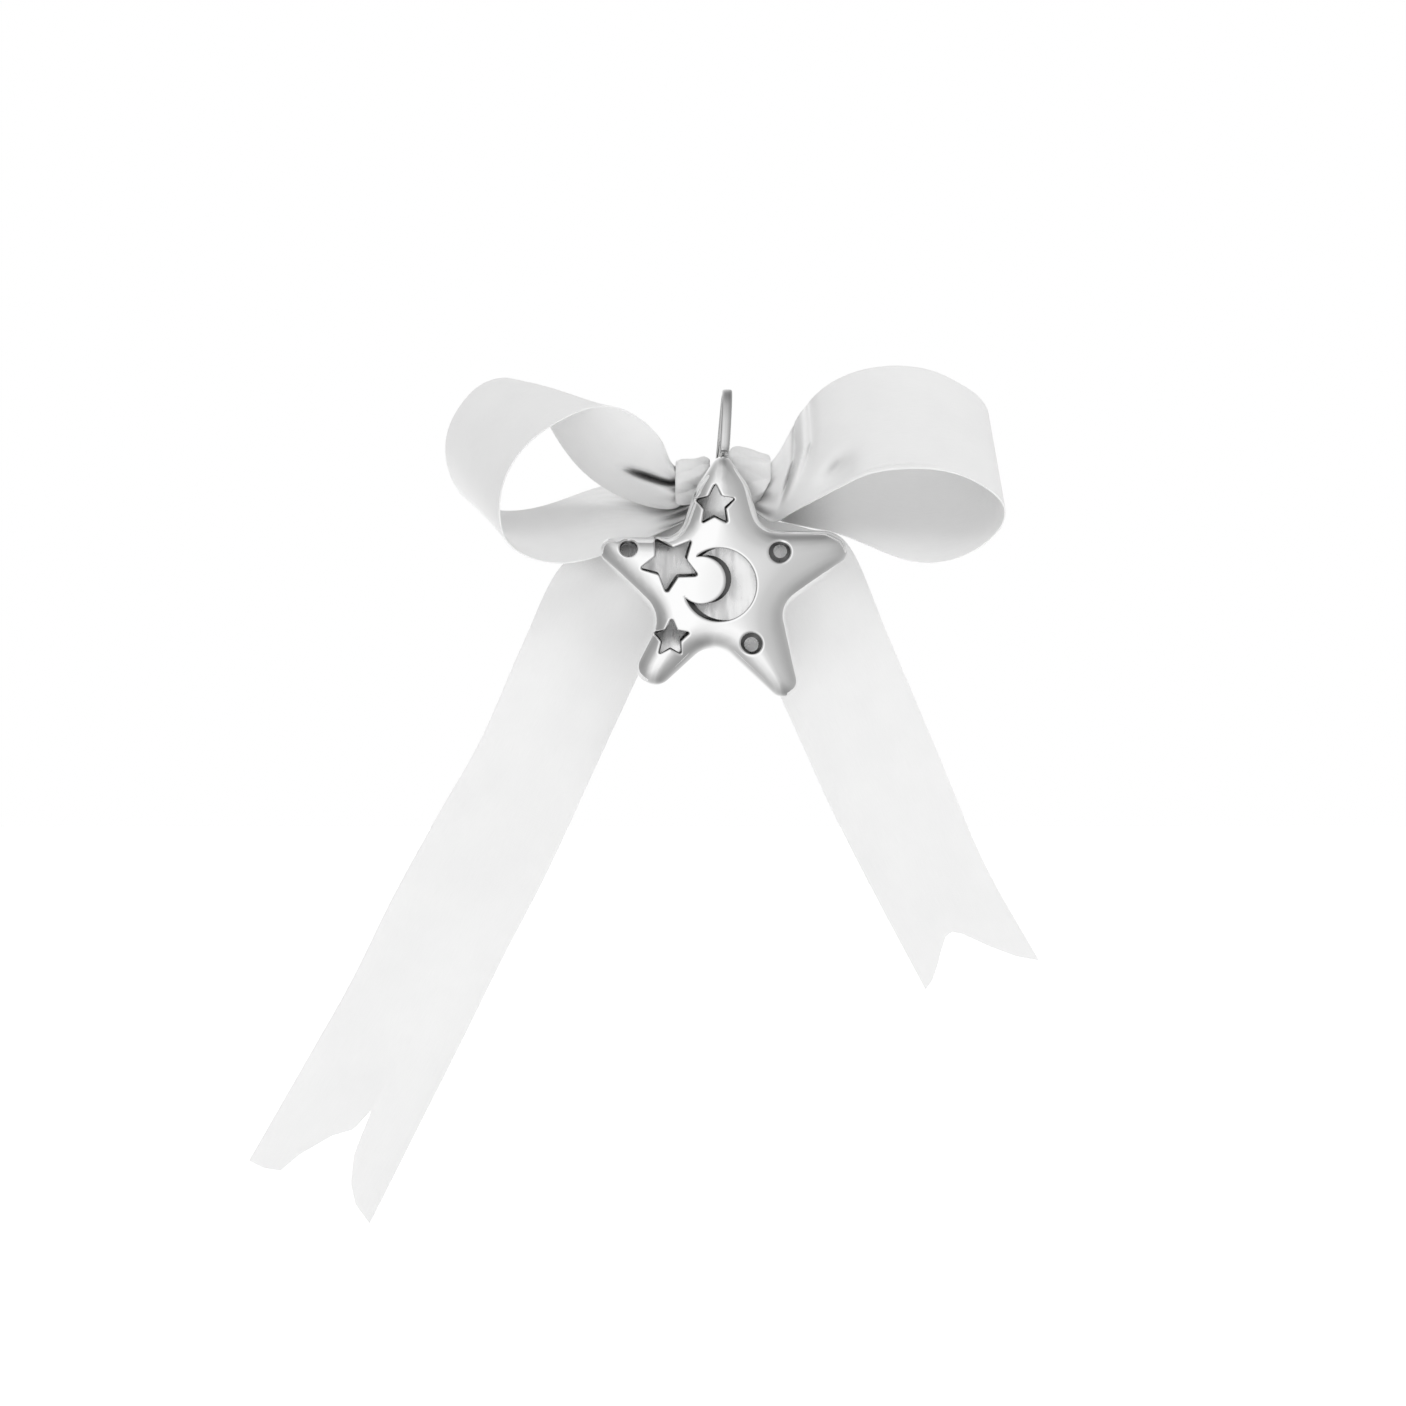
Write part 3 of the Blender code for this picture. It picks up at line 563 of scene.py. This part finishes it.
def waist():
    """The ribbon folded to and fro into a rope, with a neck under the thread."""
    rows, columns = 60, 140
    x = np.linspace(-9.0, 9.4, rows)
    neck = 1 - 0.2 * rise(x, -3.1, -2.3) * (1 - rise(x, 0.8, 1.6))
    t = np.linspace(0, 1, columns)
    y = -2.7 + 5.4 * t
    z = 2.55 * np.sqrt(1 - (y / 3.1) ** 2) * np.cos(2 * math.pi * 3 * t)
    grid = np.empty((rows, columns, 3))
    grid[:, :, 0] = x[:, None]
    grid[:, :, 1] = y[None, :] * neck[:, None]
    grid[:, :, 2] = z[None, :] * neck[:, None]
    piece = sheet_object("waist_pleats", grid, 0.3, SATIN)
    soft(piece, ["waist_core"])


def end_patch():
    """The wrap's end, folded once and pressed flat on the back of the knot."""
    x = np.linspace(-6.45, 6.45, 40)
    run_points = 22
    far, near, fold = 6.28, 5.92, 1.38
    half = (far - near) / 2
    run = np.linspace(-3.42, fold - half, run_points)
    bend = np.linspace(-math.pi / 2, math.pi / 2, 16)[1:-1]
    y = np.concatenate([np.full(run_points, near), (near + far) / 2 + half * np.sin(bend),
                        np.full(run_points, far)])
    z = np.concatenate([run, fold - half + half * np.cos(bend), run[::-1]])
    grid = np.empty((len(x), len(y), 3))
    grid[:, :, 0] = x[:, None] + 0.18 * np.sin(z[None, :] * 1.1)
    grid[:, :, 1] = y[None, :]
    grid[:, :, 2] = z[None, :]
    piece = sheet_object("wrap_end_folded", grid, 0.22, SATIN, width=WRAP_WIDTH)
    soft(piece, ["wrap_end_patch"])


def thread():
    """Four turns of two-ply thread round the neck of the waist."""
    turns, radius, core = 4, 3.15, 0.25
    steps, sides = 60 * turns, 16
    k = np.arange(steps + 1)
    turn = 2 * math.pi * k / 60
    x = -0.75 + 0.6 * (k / 60 - turns / 2)
    path = np.column_stack([x, radius * np.cos(turn), radius * np.sin(turn)])
    tangent = np.gradient(path, axis=0)
    tangent /= np.linalg.norm(tangent, axis=1, keepdims=True)
    out = np.column_stack([np.zeros(len(path)), np.cos(turn), np.sin(turn)])
    across = np.cross(tangent, out)
    phi = 2 * math.pi * np.arange(sides) / sides
    size = core * (0.88 + 0.12 * np.cos(2 * (phi[None, :] - 14 * turn[:, None])))
    points = (path[:, None, :] + out[:, None, :] * (size * np.cos(phi))[:, :, None]
              + across[:, None, :] * (size * np.sin(phi))[:, :, None])
    faces = quads(steps + 1, sides, closed_columns=True)
    faces += [tuple(range(sides)), tuple(range(steps * sides, (steps + 1) * sides))]
    piece = mesh_object("binding_thread_turns", points.reshape(-1, 3), faces, COTTON)
    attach(piece, "bow")
    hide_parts("binding_thread")


# ------------------------------------------------------------------------ ring

RING_YAW, RING_LEAN, RING_SHIFT = 0.05, 0.068, -0.41


def ring():
    """A flattened wire: round the waist below, an open eye above, soldered to the star."""
    lower = []
    for degrees in (14, -14, -42, -70, -98, -126, -154, -182):
        turn = math.radians(degrees)
        lower.append((4.55 * math.cos(turn), 4.55 * math.sin(turn)))
    front = [(-5.6, 2.7), (-7.7, 4.7), (-9.3, 6.9), (-9.0, 9.8), (-8.0, 13.0), (-6.4, 15.8)]
    rest = [(-4.3, 17.3), (-2.2, 15.9), (-0.6, 12.6), (1.0, 9.2), (2.6, 5.6)]
    stations = np.array(lower + front + rest)
    count, rows, sides = len(stations), 300, 28
    wrapped = np.vstack([stations[-4:], stations, stations[:5]])
    flat = smooth_curve(wrapped, 4 + np.arange(rows) * count / rows)
    for _ in range(60):
        flat = flat * 0.5 + (np.roll(flat, 1, axis=0) + np.roll(flat, -1, axis=0)) * 0.25
    across = RING_SHIFT - RING_YAW * flat[:, 0] + RING_LEAN * flat[:, 1]
    path = np.column_stack([across, flat])
    tangent = np.roll(path, -1, axis=0) - np.roll(path, 1, axis=0)
    tangent /= np.linalg.norm(tangent, axis=1, keepdims=True)
    side = np.array([1.0, 0, 0]) - tangent * tangent[:, :1]
    side /= np.linalg.norm(side, axis=1, keepdims=True)
    out = np.cross(tangent, side)
    phi = 2 * math.pi * np.arange(sides) / sides
    square = (np.abs(np.cos(phi)) ** 4 + np.abs(np.sin(phi)) ** 4) ** -0.25
    a = 0.97 * square * np.cos(phi)
    b = 0.62 * square * np.sin(phi)
    points = (path[:, None, :] + side[:, None, :] * a[None, :, None]
              + out[:, None, :] * b[None, :, None])
    faces = quads(rows, sides, closed_rows=True, closed_columns=True)
    piece = mesh_object("hanging_ring_polished", points.reshape(-1, 3), faces, RING_SILVER)
    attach(piece, "star")
    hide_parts("hanging_ring")


# ------------------------------------------------------------------------ star

STAR_MIDDLE = (-0.2, -10.0, -20.4)
STAR_STATIONS = [  # (x, z, fillet), clockwise from the top point
    (0.0, 4.6, 2.1), (4.9, -0.9, 9.0), (8.2, -8.7, 4.0), (20.4, -9.9, 4.0), (23.9, -13.2, 2.8),
    (12.3, -24.6, 4.0), (13.0, -41.0, 3.0), (-1.9, -32.0, 5.0), (-15.4, -39.0, 3.5),
    (-13.2, -26.2, 5.0), (-23.2, -12.4, 2.6), (-9.0, -9.9, 4.5), (-4.7, -0.9, 9.0),
]
FRONT_RISE, BACK_RISE = 5.9, 4.1
SHELL_WALL = 0.8
SEAM_GAP = 0.3


def corner_angles(corners, k):
    """From one corner: the unit ways to its neighbours, half the angle between, its bisector."""
    before = corners[k - 1] - corners[k]
    after = corners[(k + 1) % len(corners)] - corners[k]
    before = before / np.linalg.norm(before)
    after = after / np.linalg.norm(after)
    half = math.acos(float(np.clip(before @ after, -1, 1))) / 2
    bisector = (before + after) / np.linalg.norm(before + after)
    return before, after, half, bisector


def rounded(corners, fillets, arc_steps):
    """A closed outline through sharp corners with a round of its own radius at each."""
    outline = []
    for k, (corner, fillet) in enumerate(zip(corners, fillets)):
        before, after, half, bisector = corner_angles(corners, k)
        middle = corner + bisector * fillet / math.sin(half)
        reach = fillet / math.tan(half)
        start = corner + before * reach - middle
        end = corner + after * reach - middle
        first = math.atan2(start[1], start[0])
        sweep = (math.atan2(end[1], end[0]) - first + math.pi) % (2 * math.pi) - math.pi
        for step in range(arc_steps + 1):
            turn = first + sweep * step / arc_steps
            outline.append(middle + fillet * np.array([math.cos(turn), math.sin(turn)]))
    return np.array(outline)


def rounded_star(point, notch, point_fillet, notch_fillet, arc_steps):
    """A regular five-pointed star with rounds."""
    corners = []
    for k in range(10):
        radius = notch if k % 2 else point
        turn = math.pi / 2 - math.pi * k / 5
        corners.append(np.array([radius * math.cos(turn), radius * math.sin(turn)]))
    return rounded(corners, [point_fillet, notch_fillet] * 5, arc_steps)


def charm_outline(arc_steps):
    """The charm's outline about its own middle. It goes through these tips and notches."""
    middle = np.array([STAR_MIDDLE[0], STAR_MIDDLE[2]])
    passes = [np.array([x, z]) - middle for x, z, _ in STAR_STATIONS]
    fillets = [fillet for _, _, fillet in STAR_STATIONS]
    corners = list(passes)
    for _ in range(6):
        moved = []
        for k in range(len(corners)):
            _, _, half, bisector = corner_angles(corners, k)
            moved.append(passes[k] - bisector * fillets[k] * (1 / math.sin(half) - 1))
        corners = moved
    return rounded(corners, fillets, arc_steps)


def resampled(outline, spacing):
    """The closed outline again, with points evenly apart."""
    closed = np.vstack([outline, outline[:1]])
    along = path_length(closed)
    count = max(12, int(round(along[-1] / spacing)))
    at = np.arange(count) * along[-1] / count
    return np.column_stack([np.interp(at, along, closed[:, k]) for k in range(2)])


def small_star(x, z, radius, first_point):
    """A five-pointed star whose first point is at an angle in degrees from the x axis."""
    flat = rounded_star(radius * 1.08, radius * 0.55, radius * 0.06, radius * 0.12, 4)
    turn = math.radians(first_point - 90)
    c, s = math.cos(turn), math.sin(turn)
    return np.array([(x + px * c - pz * s, z + px * s + pz * c) for px, pz in flat])


def circle(x, z, radius):
    turns = 2 * math.pi * np.arange(48) / 48
    return np.column_stack([x + radius * np.cos(turns), z + radius * np.sin(turns)])


def on_circle(middle, radius, turn):
    return middle[0] + radius * math.cos(turn), middle[1] + radius * math.sin(turn)


def moon():
    """A crescent: a large circle less a smaller one, from one horn round to the other."""
    outer, outer_radius = (-0.5, -20.0), 7.0
    inner, inner_radius = (-3.9, -19.1), 4.6
    apart = math.dist(outer, inner)
    away = math.atan2(inner[1] - outer[1], inner[0] - outer[0])
    outer_half = math.acos(
        (apart**2 + outer_radius**2 - inner_radius**2) / (2 * apart * outer_radius))
    inner_half = math.acos(
        (apart**2 + inner_radius**2 - outer_radius**2) / (2 * apart * inner_radius))
    outline, steps = [], 60
    for k in range(steps + 1):
        turn = away + outer_half + (2 * math.pi - 2 * outer_half) * k / steps
        outline.append(on_circle(outer, outer_radius, turn))
    for k in range(1, steps):
        turn = away + math.pi + inner_half - 2 * inner_half * k / steps
        outline.append(on_circle(inner, inner_radius, turn))
    return np.array(outline)


def outline_normals(outline):
    """The unit normals that point into a closed outline."""
    along = np.roll(outline, -1, axis=0) - np.roll(outline, 1, axis=0)
    inward = np.column_stack([-along[:, 1], along[:, 0]])
    inward /= np.linalg.norm(inward, axis=1, keepdims=True)
    after = np.roll(outline, -1, axis=0)
    area = np.sum(outline[:, 0] * after[:, 1] - outline[:, 1] * after[:, 0])
    return inward if area > 0 else -inward


def inside(points, outline):
    """Which points lie inside a closed outline."""
    x, z = points[:, 0], points[:, 1]
    found = np.zeros(len(points), bool)
    for (x0, z0), (x1, z1) in zip(outline, np.roll(outline, -1, axis=0)):
        crosses = (z0 > z) != (z1 > z)
        if crosses.any():
            at = x0 + (z - z0) * (x1 - x0) / (z1 - z0 if z1 != z0 else 1e-12)
            found ^= crosses & (x < at)
    return found


def distance_to(points, outline):
    """The distance from each point to a dense outline."""
    best = np.full(len(points), 1e9)
    for a, b in zip(outline, np.roll(outline, -1, axis=0)):
        ab = b - a
        t = np.clip(((points - a) @ ab) / (ab @ ab), 0, 1)
        best = np.minimum(best, np.linalg.norm(points - a - t[:, None] * ab, axis=1))
    return best


RIM_OFFSETS = ((0.06, 0.05), (0.18, 0.1), (0.38, 0.16), (0.7, 0.22), (1.15, 0.28), (1.7, 0.32))
HOLE_OFFSETS = ((-0.12, 0.09), (-0.3, 0.14), (-0.6, 0.2))


def star_cells(holes):
    """A triangle mesh of the star's flat outline, with finer cells along its edges.

    Rows of points follow each edge at the offsets above, each with the least distance that its
    points keep from those before them. A lattice of points fills the rest.
    """
    outline = resampled(charm_outline(16), 0.4)
    fixed = [outline] + holes
    groups = []
    for loop, offsets in [(outline, RIM_OFFSETS)] + [(hole, HOLE_OFFSETS) for hole in holes]:
        normal = outline_normals(loop)
        for offset, clearance in offsets:
            row = loop + normal * offset
            groups.append((row[distance_to(row, loop) > abs(offset) * 0.93], clearance))
    spacing = 0.75
    steps = np.arange(-30, 31) * spacing
    gx, gz = np.meshgrid(steps, steps * 0.866)
    gx = gx + (np.arange(len(steps)) % 2)[:, None] * spacing / 2
    lattice = np.column_stack([gx.ravel(), gz.ravel()])
    lattice = lattice[inside(lattice, outline)]
    groups.append((lattice[distance_to(lattice, outline) > 2.1], 0.4))
    accepted = list(np.vstack(fixed))
    for group, clearance in groups:
        for point in group:
            near = np.array(accepted)
            if np.min((near[:, 0] - point[0]) ** 2 + (near[:, 1] - point[1]) ** 2) > clearance**2:
                accepted.append(point)
    points = np.array(accepted)
    edges, start = [], 0
    for loop in fixed:
        count = len(loop)
        edges += [(start + k, start + (k + 1) % count) for k in range(count)]
        start += count
    face = list(range(len(outline)))
    made = delaunay_2d_cdt([Vector(p) for p in points], edges, [face], 1, 1e-7)
    flat = np.array([tuple(v) for v in made[0]])
    triangles = np.array(made[2])
    middle = flat[triangles].mean(axis=1)
    triangles = triangles[inside(middle, outline)]
    return flat, triangles, outline


def inflated(flat, triangles, outline, reach):
    """A smooth rise from 0 at the outline towards 1 inside, as a skin pressed up by air."""
    a, b, c = (flat[triangles[:, k]] for k in range(3))
    ab, ac = b - a, c - a
    area = np.maximum(np.abs(ab[:, 0] * ac[:, 1] - ab[:, 1] * ac[:, 0]) / 2, 1e-9)
    first, second, weight = [], [], []
    for i, j, k in ((0, 1, 2), (1, 2, 0), (2, 0, 1)):
        u = flat[triangles[:, i]] - flat[triangles[:, k]]
        v = flat[triangles[:, j]] - flat[triangles[:, k]]
        first.append(triangles[:, i])
        second.append(triangles[:, j])
        weight.append((u * v).sum(axis=1) / (4 * area))
    first, second, weight = (np.concatenate(q) for q in (first, second, weight))
    count = len(flat)
    mass = np.zeros(count)
    for k in range(3):
        mass += np.bincount(triangles[:, k], area / 3, count)
    free = distance_to(flat, outline) > 1e-4
    diagonal = np.bincount(first, weight, count) + np.bincount(second, weight, count)
    diagonal += mass / reach**2

    def times(x):
        x = np.where(free, x, 0.0)
        made = diagonal * x
        made -= np.bincount(first, weight * x[second], count)
        made -= np.bincount(second, weight * x[first], count)
        return np.where(free, made, 0.0)

    x = np.zeros(count)
    residual = np.where(free, mass / reach**2, 0.0)
    scale = np.where(free, 1 / np.maximum(diagonal, 1e-9), 0.0)
    step = scale * residual
    energy = residual @ step
    for _ in range(900):
        push = times(step)
        amount = energy / max(step @ push, 1e-30)
        x += amount * step
        residual -= amount * push
        if residual @ residual < 1e-18:
            break
        smoothed = scale * residual
        fresh = residual @ smoothed
        step = smoothed + step * fresh / energy
        energy = fresh
    return np.clip(x, 0, 1)


def surface_normals(points, triangles):
    a, b, c = (points[triangles[:, k]] for k in range(3))
    face = np.cross(b - a, c - a)
    made = np.zeros_like(points)
    for k in range(3):
        for axis in range(3):
            made[:, axis] += np.bincount(triangles[:, k], face[:, axis], len(points))
    return made / np.maximum(np.linalg.norm(made, axis=1, keepdims=True), 1e-12)


def boundary_edges(triangles):
    """The directed edges that belong to one triangle only."""
    seen = {}
    for t in triangles:
        for k in range(3):
            edge = (int(t[k]), int(t[(k + 1) % 3]))
            seen[edge] = seen.get(edge, 0) + 1
    return [edge for edge in seen if (edge[1], edge[0]) not in seen]


def star_shell(name, node_name, flat, triangles, rise_at, height, facing, hole_distance, lean):
    """One pressed shell: an outer skin, an inner skin a wall's thickness in, and the edges.

    facing is -1 for the front and 1 for the back. lean moves the inner skin sideways, so that
    the walls of a hole slope.
    """
    used = np.unique(triangles)
    renumber = -np.ones(len(flat), int)
    renumber[used] = np.arange(len(used))
    flat, rise_at, hole_distance, lean = flat[used], rise_at[used], hole_distance[used], lean[used]
    triangles = renumber[triangles]
    y = SEAM_GAP / 2 + height * rise_at
    outer = np.column_stack([flat[:, 0], facing * y, flat[:, 1]])
    normal = surface_normals(outer, triangles)
    flip = 1.0 if np.mean(normal[:, 1]) * facing > 0 else -1.0
    inner = outer - normal * flip * SHELL_WALL
    inner[:, 1] = facing * np.maximum(facing * inner[:, 1], SEAM_GAP / 2)
    lip = 0.28
    curve = np.sqrt(np.maximum(lip**2 - (lip - hole_distance) ** 2, 0))
    drop = np.where(hole_distance < lip, lip - curve, 0)
    outer -= normal * flip * (drop * (rise_at > 0.02))[:, None]
    rim = rise_at < 1e-6
    inner[rim, 1] = facing * SEAM_GAP / 2
    count = len(outer)
    inner[:, [0, 2]] += lean
    faces = [tuple(t) for t in triangles] + [tuple(t + count) for t in triangles]
    finish = [0] * len(triangles) + [1] * len(triangles)
    for a, b in boundary_edges(triangles):
        faces.append((a, b, b + count, a + count))
        # Hole-wall faces take the dark silver, which is painted shade.
        finish.append(1 if rim[a] and rim[b] else 2)
    points = np.vstack([outer, inner]) + np.array(STAR_MIDDLE)
    piece = mesh_object(name, points, faces, SILVER, sharp=60.0)
    piece.data.materials.append(SILVER_INSIDE)
    piece.data.materials.append(SILVER_HOLE_WALL_SHADE)
    piece.data.polygons.foreach_set("material_index", finish)
    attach(piece, "star")
    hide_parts(node_name)


def star():
    middle = np.array([STAR_MIDDLE[0], STAR_MIDDLE[2]])

    def own(outline, spacing):
        return resampled(outline - middle, spacing)

    holes = [
        own(moon(), 0.3), own(small_star(-9.9, -15.8, 5.6, -97), 0.24),
        own(small_star(-1.4, -4.8, 4.0, 90), 0.2), own(small_star(-9.8, -30.2, 3.6, 88), 0.2),
        own(circle(-17.9, -12.9, 1.7), 0.22), own(circle(11.0, -13.7, 2.1), 0.24),
        own(circle(5.6, -31.2, 2.1), 0.24),
    ]
    flat, triangles, outline = star_cells(holes)
    air = inflated(flat, triangles, outline, 5.2)
    rise_at = np.sqrt(np.clip(1 - (1 - air) ** 2, 0, 1))
    distances = np.array([distance_to(flat, hole) for hole in holes])
    hole_distance, nearest = distances.min(axis=0), distances.argmin(axis=0)
    leans = np.array([(1.05, 0.2)] + [(-0.35, 0.55)] * 3 + [(0.0, 0.0)] * 3)
    drawn_in = np.array([0.0] * 5 + [0.5] * 2)
    hole_middles = np.array([hole.mean(axis=0) for hole in holes])
    lean = leans[nearest] - drawn_in[nearest, None] * (flat - hole_middles[nearest])
    lean *= (np.exp(-((hole_distance / 1.2) ** 2)) * rise(rise_at, 0.6, 0.95))[:, None]
    centres = flat[triangles].mean(axis=1)
    pierced = ~np.any([inside(centres, hole) for hole in holes], axis=0)
    far = np.full(len(flat), 99.0)
    star_shell("star_front_polished", "star_front_shell", flat, triangles[pierced], rise_at,
               FRONT_RISE, -1, hole_distance, lean)
    star_shell("star_back_polished", "star_back_shell", flat, triangles, rise_at,
               BACK_RISE, 1, far, np.zeros_like(flat))


# ----------------------------------------------------------------------- stage


def stage():
    scene = bpy.context.scene
    middle = np.array([-3.65 * MM, -0.008, -0.0415])
    distance = 1.4
    frame_width = 0.2704
    view = bpy.data.cameras.new("front_camera")
    view.sensor_width = 36.0
    view.lens = view.sensor_width * distance / frame_width
    view.clip_end = 50.0
    camera = bpy.data.objects.new("front_camera", view)
    camera.location = (middle[0], middle[1] - distance, middle[2])
    camera.rotation_euler = (math.pi / 2, 0, 0)
    scene.collection.objects.link(camera)
    scene.camera = camera

    build = bmesh.new()
    bmesh.ops.create_circle(build, cap_ends=True, radius=8.0, segments=96)
    mesh = bpy.data.meshes.new("floor")
    build.to_mesh(mesh)
    build.free()
    floor = bpy.data.objects.new("floor", mesh)
    floor.location = (0, 0, cad_low.z - 0.06)
    white, _, shader = new_material("floor_white")
    shader.inputs["Base Color"].default_value = (0.9, 0.9, 0.9, 1)
    shader.inputs["Roughness"].default_value = 0.9
    shader.inputs["Emission Color"].default_value = (1, 1, 1, 1)
    shader.inputs["Emission Strength"].default_value = 0.52
    mesh.materials.append(white)
    floor.visible_glossy = False
    scene.collection.objects.link(floor)

    light = bpy.data.lights.new("high_right_softbox", "AREA")
    light.shape = "SQUARE"
    light.size = 1.3
    light.energy = 25.0
    lamp = bpy.data.objects.new("high_right_softbox", light)
    lamp.location = (0.9, -1.7, 2.3)
    to_bow = Vector((0, 0, -0.03)) - lamp.location
    lamp.rotation_euler = to_bow.to_track_quat("-Z", "Y").to_euler()
    lamp.visible_glossy = False
    scene.collection.objects.link(lamp)

    sky = bpy.data.worlds.new("studio")
    scene.world = sky
    sky.use_nodes = True
    tree = sky.node_tree
    tree.nodes.clear()
    direction = node(tree, "ShaderNodeTexCoord").outputs["Generated"]
    split = node(tree, "ShaderNodeSeparateXYZ", [(direction, 0)])
    shade = node(tree, "ShaderNodeMapRange", [(split.outputs["Z"], 0)], From_Min=0.0, From_Max=1.0,
                 To_Min=0.38, To_Max=0.84)
    soft_light = node(tree, "ShaderNodeBackground", [(shade.outputs[0], "Color")], Strength=1.0)
    sides = node(tree, "ShaderNodeMapRange", [(split.outputs["X"], 0)], From_Min=-1.0, From_Max=1.0)
    sweep = ramp(tree, sides.outputs[0],
                 [(0.0, 0.3), (0.1, 0.42), (0.2, 0.75), (0.3, 1.0), (0.47, 1.0),
                  (0.54, 0.76), (0.63, 0.6), (0.8, 0.52), (1.0, 0.4)])
    heights = node(tree, "ShaderNodeMapRange", [(split.outputs["Z"], 0)],
                   From_Min=-1.0, From_Max=1.0)
    fall = ramp(tree, heights.outputs[0],
                [(0.0, 0.45), (0.08, 0.6), (0.22, 0.9), (0.35, 1.0),
                 (0.65, 1.0), (0.8, 0.9), (0.93, 0.64), (1.0, 0.35)])
    studio = node(tree, "ShaderNodeMath", [(sweep, 0), (fall, 1)], p_operation="MULTIPLY")
    mirrored = node(tree, "ShaderNodeBackground", [(studio.outputs[0], "Color")], Strength=1.04)
    seen = node(tree, "ShaderNodeBackground", Color=(1, 1, 1, 1), Strength=1.0)
    path = node(tree, "ShaderNodeLightPath")
    lit = node(tree, "ShaderNodeMixShader", [(path.outputs["Is Glossy Ray"], 0),
                                             (soft_light.outputs[0], 1), (mirrored.outputs[0], 2)])
    mix = node(tree, "ShaderNodeMixShader", [(path.outputs["Is Camera Ray"], 0),
                                             (lit.outputs[0], 1), (seen.outputs[0], 2)])
    node(tree, "ShaderNodeOutputWorld", [(mix.outputs[0], "Surface")])
    scene.view_settings.view_transform = "Standard"
    scene.view_settings.look = "None"


left_loop()
right_loop()
left_tail()
right_tail()
knot()
waist()
end_patch()
thread()
ring()
star()
stage()
